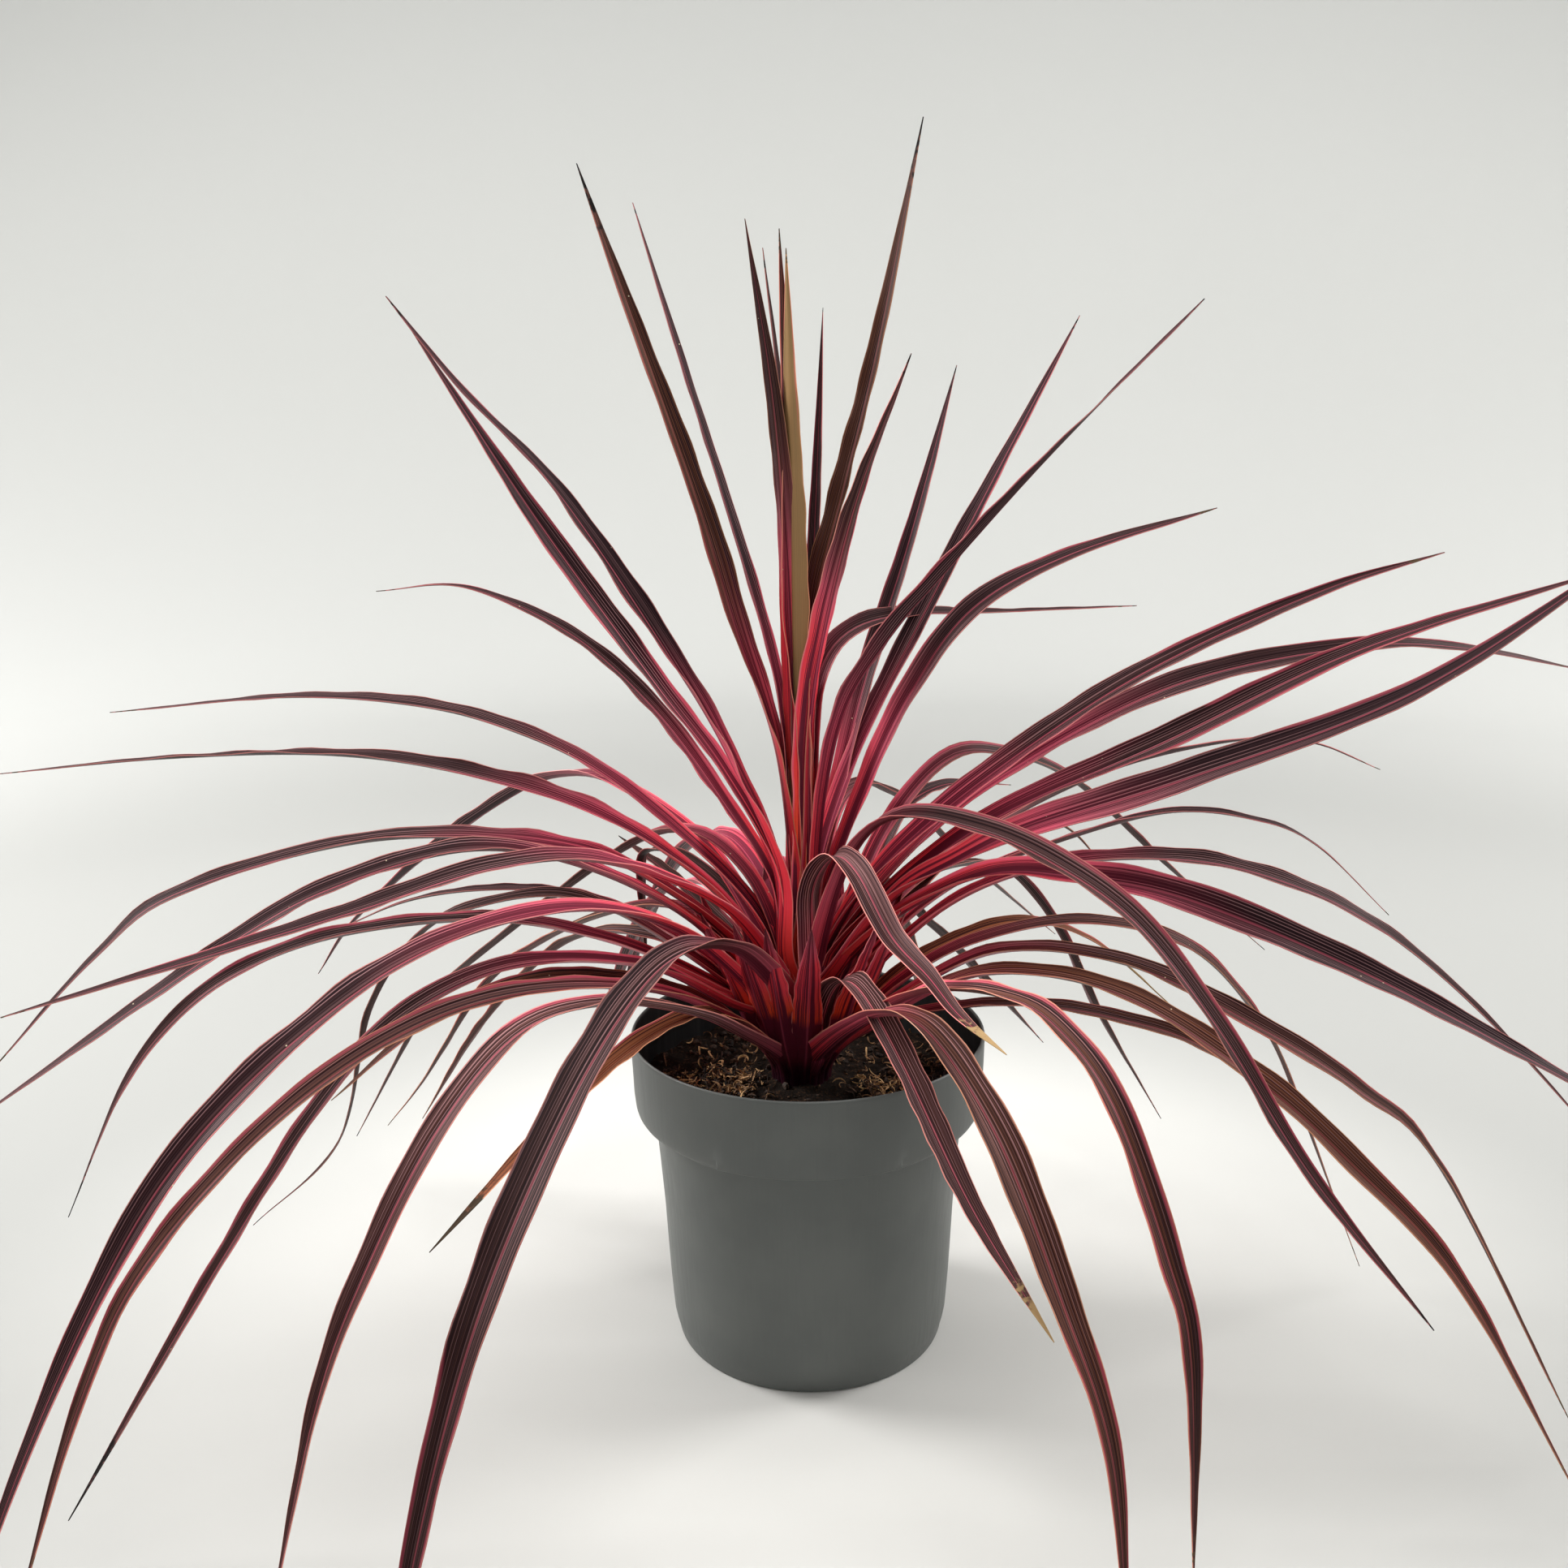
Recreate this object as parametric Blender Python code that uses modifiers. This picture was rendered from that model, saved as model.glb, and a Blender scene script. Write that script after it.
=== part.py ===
"""A potted cordyline: a clump of arching sword-shaped leaves on a short stem, in a grey nursery pot.

Metres, +Z up. The origin is the middle of the pot's flat base, and -Y is the pot's front.
"""

import math

import bmesh
import bpy
import numpy as np
from mathutils import Matrix, Vector

CM = 0.01
FIT_GAP = 0.0003

# Pot
POT_HEIGHT = 0.262
RIM_RADIUS = 0.1445
BODY_TOP_RADIUS = 0.1262
BODY_TOP_HEIGHT = 0.187
BASE_RADIUS = 0.111
POT_WALL = 0.002
SHOULDER_WALL = 0.0032
POT_FLOOR = 0.003
POT_STEPS = 48
TAB_HALF_ANGLE = math.radians(26)
TAB_TOP = 0.225
TAB_BOTTOM = 0.2
TAB_PANEL_RADIUS = 0.127
DRAIN_HOLES = 8
DRAIN_RADIUS = 0.007
DRAIN_CIRCLE = 0.085

# Soil and stem
SOIL_HEIGHT = 0.215
SOIL_UNEVENNESS = 0.003
STEM_RADIUS = 0.009
STEM_BOTTOM = 0.12
STEM_TOP = 0.313
STEM_RING_PITCH = 0.024
PLANT_CENTRE = Vector((-0.005, 0, 0))

# Leaves
LEAF_THICKNESS = 0.0009
LEAF_SEGMENTS = 10
TIP_WIDTH = 0.0016
BASE_FOLD = math.radians(15)
MIDDLE_FOLD = math.radians(20)
TIP_FOLD = math.radians(8)
SLEEVE_STEPS = 12

# Sleeve of leaf bases for each tier: bottom, top, outer radius at the bottom and at the top, in centimetres
SLEEVES = {
    "outer_leaves": (21.9, 23.7, 2.7, 2.5),
    "lower_leaves": (24.0, 26.0, 2.2, 2.0),
    "middle_leaves": (26.3, 28.7, 1.9, 1.7),
    "upper_leaves": (29.3, 31.2, 1.6, 1.4),
    "heart_leaves": (31.5, 41.0, 1.0, 0.4),
}

# Where the leaves of each tier are rooted and where they stand clear, as reach from the stem and height, in centimetres
ROOTS = {
    "outer_leaves": ((1.9, 22.8), (3.2, 24.5)),
    "lower_leaves": ((1.7, 24.8), (2.9, 27.2)),
    "middle_leaves": ((1.4, 27.3), (2.6, 30)),
    "upper_leaves": ((1.2, 30), (2, 33)),
    "heart_leaves": ((0.4, 32.6), (0.8, 37)),
}

# One row a leaf: heading and how far it has rolled about its midrib halfway along and at its tip, in degrees;
# width and the sideways drift of its tip, in centimetres; then the places that it passes, as reach and height
LEAVES = {
    "heart_leaves": (
        (190, -20, -20, 2.4, 1, (1, 42), (2, 50), (4.8, 59), (8, 70), (15.5, 92)),
        (160, -10, -10, 1.7, 1, (1, 42), (1.3, 50), (2.7, 58), (7.8, 75), (12.4, 90.5)),
        (215, 30, 30, 2.1, 0, (0.6, 42), (0.6, 52), (1, 64), (2, 76), (4.2, 88.4)),
        (140, 0, 0, 1.4, 0, (0.5, 45), (0.4, 60), (1.2, 74), (3, 87)),
        (200, -80, -80, 2.1, 0, (0.5, 45), (0.5, 62), (0.7, 76), (1.1, 88)),
        (250, -20, -20, 1.7, 0, (0.6, 45), (0.8, 62), (1.1, 74), (1.6, 86.5)),
        (40, 30, 30, 1.3, 0, (1, 45), (1.5, 60), (2.2, 72), (2.8, 82.7)),
        (-8, 20, 20, 2.4, 1, (1, 42), (1, 52), (1.5, 61), (3.5, 69), (6, 79), (9.3, 95.4)),
        (-42, 10, 10, 2.5, 1, (1, 42), (1.2, 51), (2.7, 59), (5.8, 69), (10.1, 78.8)),
    ),
    "upper_leaves": (
        (38, 20, 20, 1.9, 1, (2, 38), (4, 45), (7, 54), (12, 65), (17.6, 79)),
        (27, 20, 20, 2.1, 2, (2, 40), (5, 48), (9, 55), (18, 69), (27.6, 83)),
        (-12, -40, 40, 2.5, -2, (1.6, 38), (2.2, 46), (3.9, 53), (7.4, 58.6), (11, 62.8), (19, 71.8), (29, 82)),
        (8, 20, 20, 2.3, 3, (2.6, 38), (5.2, 45.5), (9, 53.5), (14, 60), (22, 64), (34.8, 67.4)),
        (36, 30, 10, 1.9, -3, (1.4, 38), (1.4, 48), (1.9, 54.5), (4.5, 58), (10, 59.2), (20, 58.8), (35.3, 58.5)),
        (201, -20, -20, 2.3, 3, (2, 40), (5.3, 48), (9.3, 55.5), (18.2, 69.2), (24.8, 76.4), (29.5, 82.3)),
        (175, -20, -20, 2.2, -3, (2.3, 40), (6.3, 47.7), (11.5, 54.7), (21, 68), (30.5, 82.4)),
        (160, -20, -10, 1.9, 4, (2.6, 38.5), (6, 44), (12, 51.8), (19.2, 58), (28, 61.7), (35.6, 61.4)),
    ),
    "middle_leaves": (
        (167, -10, -10, 2.2, 5, (3, 34), (7, 39.3), (16, 46.6), (24, 50.3), (32, 52.2), (43, 52.8), (58.4, 51.5)),
        (188, -10, 0, 2.3, -4, (3.5, 33), (8, 39), (16, 44.8), (26, 48.3), (36, 50), (48, 50), (61, 49)),
        (195, -10, -20, 2.4, 3, (4, 32), (10, 38), (18, 42.7), (32, 44.7), (46, 42.2), (52, 38), (59, 31)),
        (147, 10, 10, 2.3, 0, (4, 33), (10, 40.2), (19, 44.3), (25, 44.4), (31, 42), (42, 35.3), (54.5, 26), (61, 19)),
        (213, -10, -10, 2.4, 3, (3, 32), (8, 38.2), (17.5, 43), (26, 44), (36, 42.8), (48, 41.6), (57, 40.8)),
        (155, 0, 0, 2.2, -3, (2.4, 33), (5, 38.5), (10, 41.5), (17, 39), (33, 27.3), (40, 21), (51.7, 4.6)),
        (141, 0, 0, 1.8, 0, (4, 32), (8, 36), (13, 38.3), (17, 38.2), (17.9, 35.5), (17.7, 27.5)),
        (-3, 20, 20, 2.4, -4, (2.5, 33), (6, 39), (12, 45), (22, 52.7), (30, 57.6), (39.4, 62.1), (46.7, 64.6)),
        (-6, 30, 20, 2.6, 3, (3.3, 33), (8.8, 39), (16, 44.3), (28, 50), (42, 57), (60, 63)),
        (-24, 45, 45, 2.8, -3, (4, 32), (8, 38), (13, 41.5), (18.5, 44.7), (30, 49.6), (44, 56.6), (56, 66.5)),
        (4, 20, 10, 2.4, 4, (3.5, 33.7), (9, 40.7), (16, 46.6), (30, 53.6), (45, 56.3), (55, 55.9), (66, 53.7)),
        (19, -30, 0, 1.8, -3, (3.5, 32), (8, 36), (16, 41), (28, 45.7), (40, 47.5), (47, 46.8), (53.6, 44.1)),
        (29, 20, 0, 2.1, 3, (4, 33), (8, 41.2), (13.5, 46.5), (19, 47), (28, 43.5), (40, 34), (56, 22)),
        (50, 20, 20, 2.0, 2, (2.3, 33), (3.4, 40.3), (5.4, 44.2), (8.5, 45), (11, 44.1), (16, 41.5), (23, 36), (35, 28), (44.5, 22)),
        (-36, 10, 20, 2.8, 3, (2.4, 33), (5, 41), (9, 45), (16, 45), (22, 43.3), (28, 40), (34, 33.5), (40.6, 24.4), (49, 15.3)),
        (-61, 10, 20, 2.3, -1, (2, 35), (2.3, 38.8), (5.5, 41.9), (9, 41.5), (14, 38), (19, 36.6), (23, 35.2), (28.7, 34.6)),
        (42, 20, 20, 1.7, 0, (4.8, 31), (7.2, 35.2), (9, 39), (12, 42.6), (16.5, 43.8), (21, 43.3), (26, 42.4)),
        (-20, 40, -30, 2.8, -3, (4, 32), (9, 37), (15.5, 40.6), (22, 41), (30, 40.2), (42, 36.3), (54.6, 30.8), (66, 25.5)),
        (48, 0, 0, 1.8, 0, (3.5, 31.5), (6.3, 35.3), (10.5, 36.2), (16, 31.5), (21.5, 27), (37, 13)),
        (76, 0, 0, 2.2, 2, (4, 32), (9, 36), (17, 36.5), (28, 30), (39, 18), (47, 6)),
        (94, 0, 0, 2.2, -2, (4, 32), (9, 35.5), (16, 36), (26, 32), (36, 22), (44, 10)),
        (112, 0, 0, 2.3, 2, (4, 32), (10, 37), (19, 38), (30, 33), (42, 22), (52, 9)),
    ),
    "lower_leaves": (
        (205, -15, -15, 2.4, -3, (4.3, 30.5), (10, 37), (18, 42), (26, 44.2), (35, 42.8), (43, 39.3), (60, 29)),
        (192, -15, -15, 2.2, -4, (6, 29.3), (14, 34), (24, 36.8), (35, 36.4), (43, 34), (48.5, 30.3), (53.2, 24.5), (58.4, 14)),
        (222, -15, -15, 2.5, 4, (6, 31), (13, 37.5), (22, 41), (33, 41), (42, 38), (50, 33), (55.7, 26.5), (62, 16), (65.5, 7)),
        (212, -10, -10, 2.3, -2, (7, 29.5), (14, 34), (24, 36), (32, 34), (38, 29), (46, 18.7), (56.9, 3)),
        (246, 10, 0, 3.1, 2, (4, 29.5), (8, 33.5), (13, 36.9), (20, 39), (27, 38.3), (35.7, 34.4), (45.7, 26.9), (52.8, 17), (58, 5)),
        (134, 0, 0, 2.1, 0, (4, 28), (8, 31.5), (13, 34), (18, 36.2), (24, 38)),
        (158, 0, 0, 2.0, -2, (4, 29.5), (7.5, 33.6), (12, 35), (17, 34), (24, 30.7), (31.2, 25.2), (39.3, 14.5), (44.4, 8.7)),
        (173, 0, 0, 1.5, 2, (4, 28), (8, 32), (13, 35), (18, 36.9), (25, 37.4), (33, 36.2), (41.2, 32.5)),
        (181, 0, 0, 1.8, 3, (5, 29), (10, 33), (15, 36.3), (20, 37.8), (26, 37), (30.2, 35), (34.5, 29), (38, 17.5), (45.3, 10.7)),
        (3, -10, 10, 1.6, -3, (3.5, 29), (8, 34.3), (13, 38.2), (19.4, 41), (29, 43.8), (36, 43.3), (41, 41.2), (47, 35.5)),
        (-10, 15, 15, 2.1, 3, (5, 30), (12, 37), (20, 40.5), (30, 41.3), (38, 39.5), (45, 35.9), (52.8, 29.3), (63, 18.5)),
        (31, 0, 0, 1.3, 0, (4, 28), (9, 33.5), (15, 38), (22, 40.5), (28, 39), (33.8, 33.5)),
        (35, 0, 0, 2.0, -2, (4, 30), (9, 34.5), (13, 36.6), (17.4, 37), (21.5, 36), (25, 33), (28.7, 28.2), (33.5, 20), (42.4, 6.8)),
        (86, 0, 0, 2.2, 2, (4, 28), (8, 31), (15, 32), (25, 28), (35, 18), (43, 6)),
        (122, 0, 0, 2.2, -2, (4, 28), (9, 32), (17, 34), (27, 30), (38, 19), (47, 6)),
    ),
    "outer_leaves": (
        (220, -15, -15, 2.2, 2, (8, 29), (15, 33), (25, 35.5), (34, 35.3), (43.3, 32), (52, 25.6), (56.7, 18.2), (61.3, 7)),
        (194, -15, -15, 1.9, 2, (8, 29), (14, 31.5), (22, 32.5), (30, 30), (37, 25)),
        (234, 0, 0, 2.3, -2, (8, 28), (13.4, 31.5), (22, 35), (30, 35.6), (37, 31.3), (43, 24), (46.7, 17.4), (51, 5)),
        (228, -10, 0, 1.9, 2, (7.5, 28.6), (12, 30.7), (18, 30.5), (25, 28.4), (37.5, 23.1)),
        (-66, 0, 0, 2.8, 2, (9, 29), (15, 32.5), (21, 33), (29, 28.8), (35.8, 21), (40.6, 13.9), (42.8, 2.5)),
        (-53, 5, 5, 2.4, -2, (9, 29.5), (16, 34), (24, 36), (29, 35.4), (34, 32), (39, 24), (41.2, 18.3), (42.4, 3.5)),
        (1, 20, 0, 1.9, 3, (8, 29.5), (14, 33), (23, 34.5), (32, 32), (38.5, 25), (42.4, 17.2), (49, 1.7)),
        (-16, 20, 10, 2.1, -3, (8, 29), (16, 34), (26, 34), (36, 30), (42.7, 26.2), (48.4, 21.2), (58.4, 3.2)),
        (-29, 20, 20, 2.4, 2, (8, 28.5), (16, 33.3), (26, 33.5), (36, 28.8), (43, 23.5), (50, 16.7), (58.5, 2.7)),
        (-9, 20, 10, 1.6, -2, (9, 27.6), (17, 29), (25, 28.5), (33, 26), (45.6, 17.2)),
        (14, 20, 10, 1.4, 0, (7, 29), (12, 32), (19, 33.5), (26, 31), (34, 24)),
        (-63, 0, 20, 2.5, 0, (4, 28.5), (6.5, 32), (10, 32.5), (16, 29), (25, 22.2), (34.5, 17.5)),
        (68, 0, 0, 2.1, 2, (9, 29), (17, 31), (27, 27.5), (37, 17), (44, 6)),
        (103, 0, 0, 2.1, -2, (8, 28), (15, 29.5), (24, 26), (32, 17), (38, 6)),
        (146, 0, 0, 2.1, 2, (8, 28.7), (15, 31), (25, 29), (36, 19), (45, 7)),
    ),
}

# How wide a leaf is at even steps from base to tip, as a share of its width
WIDTH_SHARES = (0.62, 0.7, 0.86, 0.97, 1.0, 0.98, 0.9, 0.75, 0.53, 0.27, 0.0)

COLOURS = {
    "pot": (0.19, 0.205, 0.2),
    "soil": (0.022, 0.013, 0.009),
    "stem": (0.16, 0.075, 0.045),
    "heart_leaves": (0.13, 0.035, 0.02),
    "upper_leaves": (0.14, 0.035, 0.035),
    "middle_leaves": (0.18, 0.035, 0.045),
    "lower_leaves": (0.2, 0.05, 0.06),
    "outer_leaves": (0.22, 0.06, 0.06),
}
ROUGHNESS = {"pot": 0.55, "soil": 0.95, "stem": 0.8}
LEAF_ROUGHNESS = 0.45


def clear_scene():
    for item in list(bpy.data.objects):
        bpy.data.objects.remove(item, do_unlink=True)


def make_collection(name):
    collection = bpy.data.collections.new(name)
    bpy.context.scene.collection.children.link(collection)
    return collection


def make_material(name):
    material = bpy.data.materials.new(name)
    material.use_nodes = True
    shader = material.node_tree.nodes["Principled BSDF"]
    shader.inputs["Base Color"].default_value = (*COLOURS[name], 1)
    shader.inputs["Roughness"].default_value = ROUGHNESS.get(name, LEAF_ROUGHNESS)
    shader.inputs["Metallic"].default_value = 0
    return material


def finish(item, sharp_angle=math.radians(35)):
    item.data.materials.clear()
    item.data.materials.append(make_material(item.name))
    item.data.shade_smooth()
    item.data.set_sharp_from_angle(angle=sharp_angle)


def applied_mesh(item):
    """The object's mesh with its modifiers in it."""
    graph = bpy.context.evaluated_depsgraph_get()
    graph.update()
    return bpy.data.meshes.new_from_object(item.evaluated_get(graph))


def turned(name, profile, steps, collection):
    """A solid turned about Z from a profile of radius and height, which runs down its outer side."""
    mesh = bpy.data.meshes.new(name)
    closed = profile[0] == profile[-1]
    points = [(radius, 0, height) for radius, height in profile[: len(profile) - closed]]
    ends = [(i, (i + 1) % len(points)) for i in range(len(points) - (not closed))]
    edges = [(a, b) for a, b in ends if points[a][0] or points[b][0]]
    mesh.from_pydata(points, edges, [])
    item = bpy.data.objects.new(name, mesh)
    collection.objects.link(item)
    screw = item.modifiers.new("turn", "SCREW")
    screw.steps = steps
    screw.render_steps = steps
    screw.use_merge_vertices = True
    screw.merge_threshold = 0.00005
    screw.use_smooth_shade = True
    item.data = applied_mesh(item)
    item.modifiers.clear()
    return item


def shoulder(front, inset):
    """The wall under the band, from its top down: a sloping shoulder, and at the front a tab that stands out over it."""
    if front:
        return [
            (TAB_PANEL_RADIUS - inset, TAB_BOTTOM - 0.0004),
            (TAB_PANEL_RADIUS - inset - 0.0002, TAB_BOTTOM - 0.0055),
            (TAB_PANEL_RADIUS - inset - 0.0004, BODY_TOP_HEIGHT + 0.0023),
        ]
    return [
        (RIM_RADIUS - 0.0035 - inset, TAB_BOTTOM + 0.0003),
        (RIM_RADIUS - 0.0065 - inset, TAB_BOTTOM - 0.0025),
        (RIM_RADIUS - 0.0175 - inset, BODY_TOP_HEIGHT + 0.0023),
    ]


def pot_profile(front=False):
    band_foot = (RIM_RADIUS - 0.0007, TAB_BOTTOM) if front else (RIM_RADIUS - 0.002, TAB_BOTTOM + 0.0035)
    ledge = (TAB_PANEL_RADIUS if front else RIM_RADIUS - 0.003) - SHOULDER_WALL
    outer = [
        (RIM_RADIUS - POT_WALL, POT_HEIGHT - 0.0004),
        (RIM_RADIUS - 0.0012, POT_HEIGHT),
        (RIM_RADIUS - 0.0002, POT_HEIGHT - 0.0006),
        (RIM_RADIUS, POT_HEIGHT - 0.003),
        (RIM_RADIUS - 0.0007, TAB_TOP),
        band_foot,
        *shoulder(front, 0),
        (BODY_TOP_RADIUS, BODY_TOP_HEIGHT),
        (BASE_RADIUS + 0.0075, 0.07),
        (BASE_RADIUS + 0.005, 0.03),
        (BASE_RADIUS + 0.003, 0.013),
        (BASE_RADIUS + 0.0005, 0.003),
        (BASE_RADIUS - 0.002, 0.0),
        (0, 0),
    ]
    inner = [
        (0, POT_FLOOR),
        (BASE_RADIUS - 0.004, POT_FLOOR),
        (BASE_RADIUS - 0.001, 0.008),
        (BASE_RADIUS + 0.0054, 0.07),
        (BODY_TOP_RADIUS - POT_WALL, BODY_TOP_HEIGHT - 0.001),
        *reversed(shoulder(front, SHOULDER_WALL)),
        (ledge, TAB_BOTTOM + 0.0033),
        (RIM_RADIUS - 0.0038, TAB_BOTTOM + 0.0065),
        (RIM_RADIUS - POT_WALL, POT_HEIGHT - 0.0004),
    ]
    return outer + inner


def shape_front(item, profile, front_profile):
    """Within the tab's width, moves each vertex from the profile's place to the front profile's.

    The faces at the tab's two ends are all split the same way, so that the wall there keeps its thickness.
    """
    shape = bmesh.new()
    shape.from_mesh(item.data)
    moved = set()
    for vertex in shape.verts:
        x, y, z = vertex.co
        radius = math.hypot(x, y)
        if radius < TAB_PANEL_RADIUS / 2 or abs(math.atan2(x, -y)) > TAB_HALF_ANGLE:
            continue
        distances = [math.hypot(radius - r, z - h) for r, h in profile]
        number = distances.index(min(distances))
        new_radius, new_height = front_profile[number]
        vertex.co = (x * new_radius / radius, y * new_radius / radius, new_height)
        moved.add(vertex)
    for face in list(shape.faces):
        tab_side = [vertex for vertex in face.verts if vertex in moved]
        far_side = [vertex for vertex in face.verts if vertex not in moved]
        if len(tab_side) == 2 and len(far_side) == 2:
            low = min(tab_side, key=lambda vertex: vertex.co.z)
            high = max(far_side, key=lambda vertex: vertex.co.z)
            if high not in [edge.other_vert(low) for edge in low.link_edges]:
                bmesh.utils.face_split(face, low, high)
    shape.to_mesh(item.data)
    shape.free()


def cut(item, cutters, collection):
    """Cuts the cutter objects out of the item, and removes them."""
    holder = make_collection("cutters")
    for cutter in cutters:
        holder.objects.link(cutter)
        collection.objects.unlink(cutter)
    boolean = item.modifiers.new("cut", "BOOLEAN")
    boolean.operation = "DIFFERENCE"
    boolean.solver = "EXACT"
    boolean.operand_type = "COLLECTION"
    boolean.collection = holder
    item.data = applied_mesh(item)
    item.modifiers.clear()
    for cutter in cutters:
        bpy.data.objects.remove(cutter, do_unlink=True)
    bpy.data.collections.remove(holder)


def drain_cutters(collection):
    cutters = []
    for number in range(DRAIN_HOLES):
        angle = 2 * math.pi * (number + 0.5) / DRAIN_HOLES
        mesh = bpy.data.meshes.new("drain_hole")
        shape = bmesh.new()
        bmesh.ops.create_cone(
            shape, cap_ends=True, segments=12, radius1=DRAIN_RADIUS, radius2=DRAIN_RADIUS, depth=4 * POT_FLOOR
        )
        shape.to_mesh(mesh)
        shape.free()
        place = (DRAIN_CIRCLE * math.cos(angle), DRAIN_CIRCLE * math.sin(angle), POT_FLOOR / 2)
        mesh.transform(Matrix.Translation(place))
        cutter = bpy.data.objects.new("drain_hole", mesh)
        collection.objects.link(cutter)
        cutters.append(cutter)
    return cutters


def make_pot(collection):
    pot = turned("pot", pot_profile(), POT_STEPS, collection)
    shape_front(pot, pot_profile(), pot_profile(front=True))
    cut(pot, drain_cutters(collection), collection)
    finish(pot, math.radians(25))


def soil_profile(front=False):
    hole = STEM_RADIUS + FIT_GAP
    edge = RIM_RADIUS - 0.0042
    surface = [(share * edge + (1 - share) * hole, SOIL_HEIGHT) for share in (0, 0.2, 0.5, 0.85, 1)]
    inset = POT_WALL + 2 * FIT_GAP
    loose_inset = SHOULDER_WALL + 0.003
    ledge = (TAB_PANEL_RADIUS if front else RIM_RADIUS - 0.003) - loose_inset
    return [
        (0, STEM_BOTTOM - FIT_GAP),
        (hole, STEM_BOTTOM - FIT_GAP),
        *surface,
        (edge, TAB_BOTTOM + 0.008),
        (ledge, TAB_BOTTOM + 0.0045),
        *shoulder(front, loose_inset),
        (BODY_TOP_RADIUS - inset - 0.002, BODY_TOP_HEIGHT - 0.0005),
        (BASE_RADIUS + 0.0048, 0.07),
        (BASE_RADIUS - 0.0016, 0.009),
        (BASE_RADIUS - 0.006, POT_FLOOR + FIT_GAP),
        (0, POT_FLOOR + FIT_GAP),
    ]


def make_soil(collection):
    soil = turned("soil", soil_profile(), POT_STEPS, collection)
    shape_front(soil, soil_profile(), soil_profile(front=True))
    for vertex in soil.data.vertices:
        x, y, z = vertex.co
        radius = math.hypot(x, y)
        if z > SOIL_HEIGHT - 0.001 and 3 * STEM_RADIUS < radius < RIM_RADIUS - 0.006:
            waves = math.sin(70 * x + 2) * math.cos(55 * y) + math.sin(130 * y + 90 * x)
            vertex.co.z += SOIL_UNEVENNESS * 0.5 * (waves - 1)
        if radius < 2 * STEM_RADIUS:
            vertex.co += PLANT_CENTRE
    finish(soil)


def make_stem(collection):
    """The short stem, ringed with old leaf scars, that the sleeves of leaf bases stand round."""
    profile = [(0, STEM_TOP), (STEM_RADIUS * 0.9, STEM_TOP), (STEM_RADIUS - 0.0008, STEM_TOP - 0.002)]
    height = STEM_TOP - STEM_RING_PITCH / 2
    while height > STEM_BOTTOM + STEM_RING_PITCH:
        profile.append((STEM_RADIUS, height))
        profile.append((STEM_RADIUS - 0.0008, height - STEM_RING_PITCH / 2))
        height -= STEM_RING_PITCH
    profile += [(STEM_RADIUS * 0.8, STEM_BOTTOM), (0, STEM_BOTTOM)]
    stem = turned("stem", profile, SLEEVE_STEPS, collection)
    stem.data.transform(Matrix.Translation(PLANT_CENTRE))
    finish(stem)


def smooth_path(points, count):
    """Evenly spaced points on a smooth curve through the given ones."""
    points = np.array([2 * points[0] - points[1], *points, 2 * points[-1] - points[-2]])
    curve = []
    for i in range(1, len(points) - 2):
        before, start, end, after = points[i - 1 : i + 3]
        for t in np.linspace(0, 1, 24, endpoint=False):
            curve.append(
                0.5
                * (
                    2 * start
                    + (end - before) * t
                    + (2 * before - 5 * start + 4 * end - after) * t**2
                    + (3 * start - before - 3 * end + after) * t**3
                )
            )
    curve.append(points[-2])
    curve = np.array(curve)
    along = np.concatenate([[0], np.cumsum(np.linalg.norm(np.diff(curve, axis=0), axis=1))])
    wanted = np.linspace(0, along[-1], count)
    return np.stack([np.interp(wanted, along, curve[:, axis]) for axis in range(curve.shape[1])], axis=1)


def leaf_midrib(row, roots, count):
    """Points along the leaf's midrib, in metres, and the level direction across it."""
    heading, _, _, _, sweep, *stations = row
    heading = math.radians(heading)
    outward = np.array([math.cos(heading), math.sin(heading), 0])
    across = np.array([-math.sin(heading), math.cos(heading), 0])
    stations = np.array([*roots, *stations], dtype=float)
    furthest = stations[:, 0].max()
    drift = sweep * (stations[:, 0] / furthest) ** 2
    places = outward * stations[:, :1] + across * drift[:, None]
    places[:, 2] = stations[:, 1]
    return smooth_path(places * CM, count) + np.array(PLANT_CENTRE), across


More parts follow.
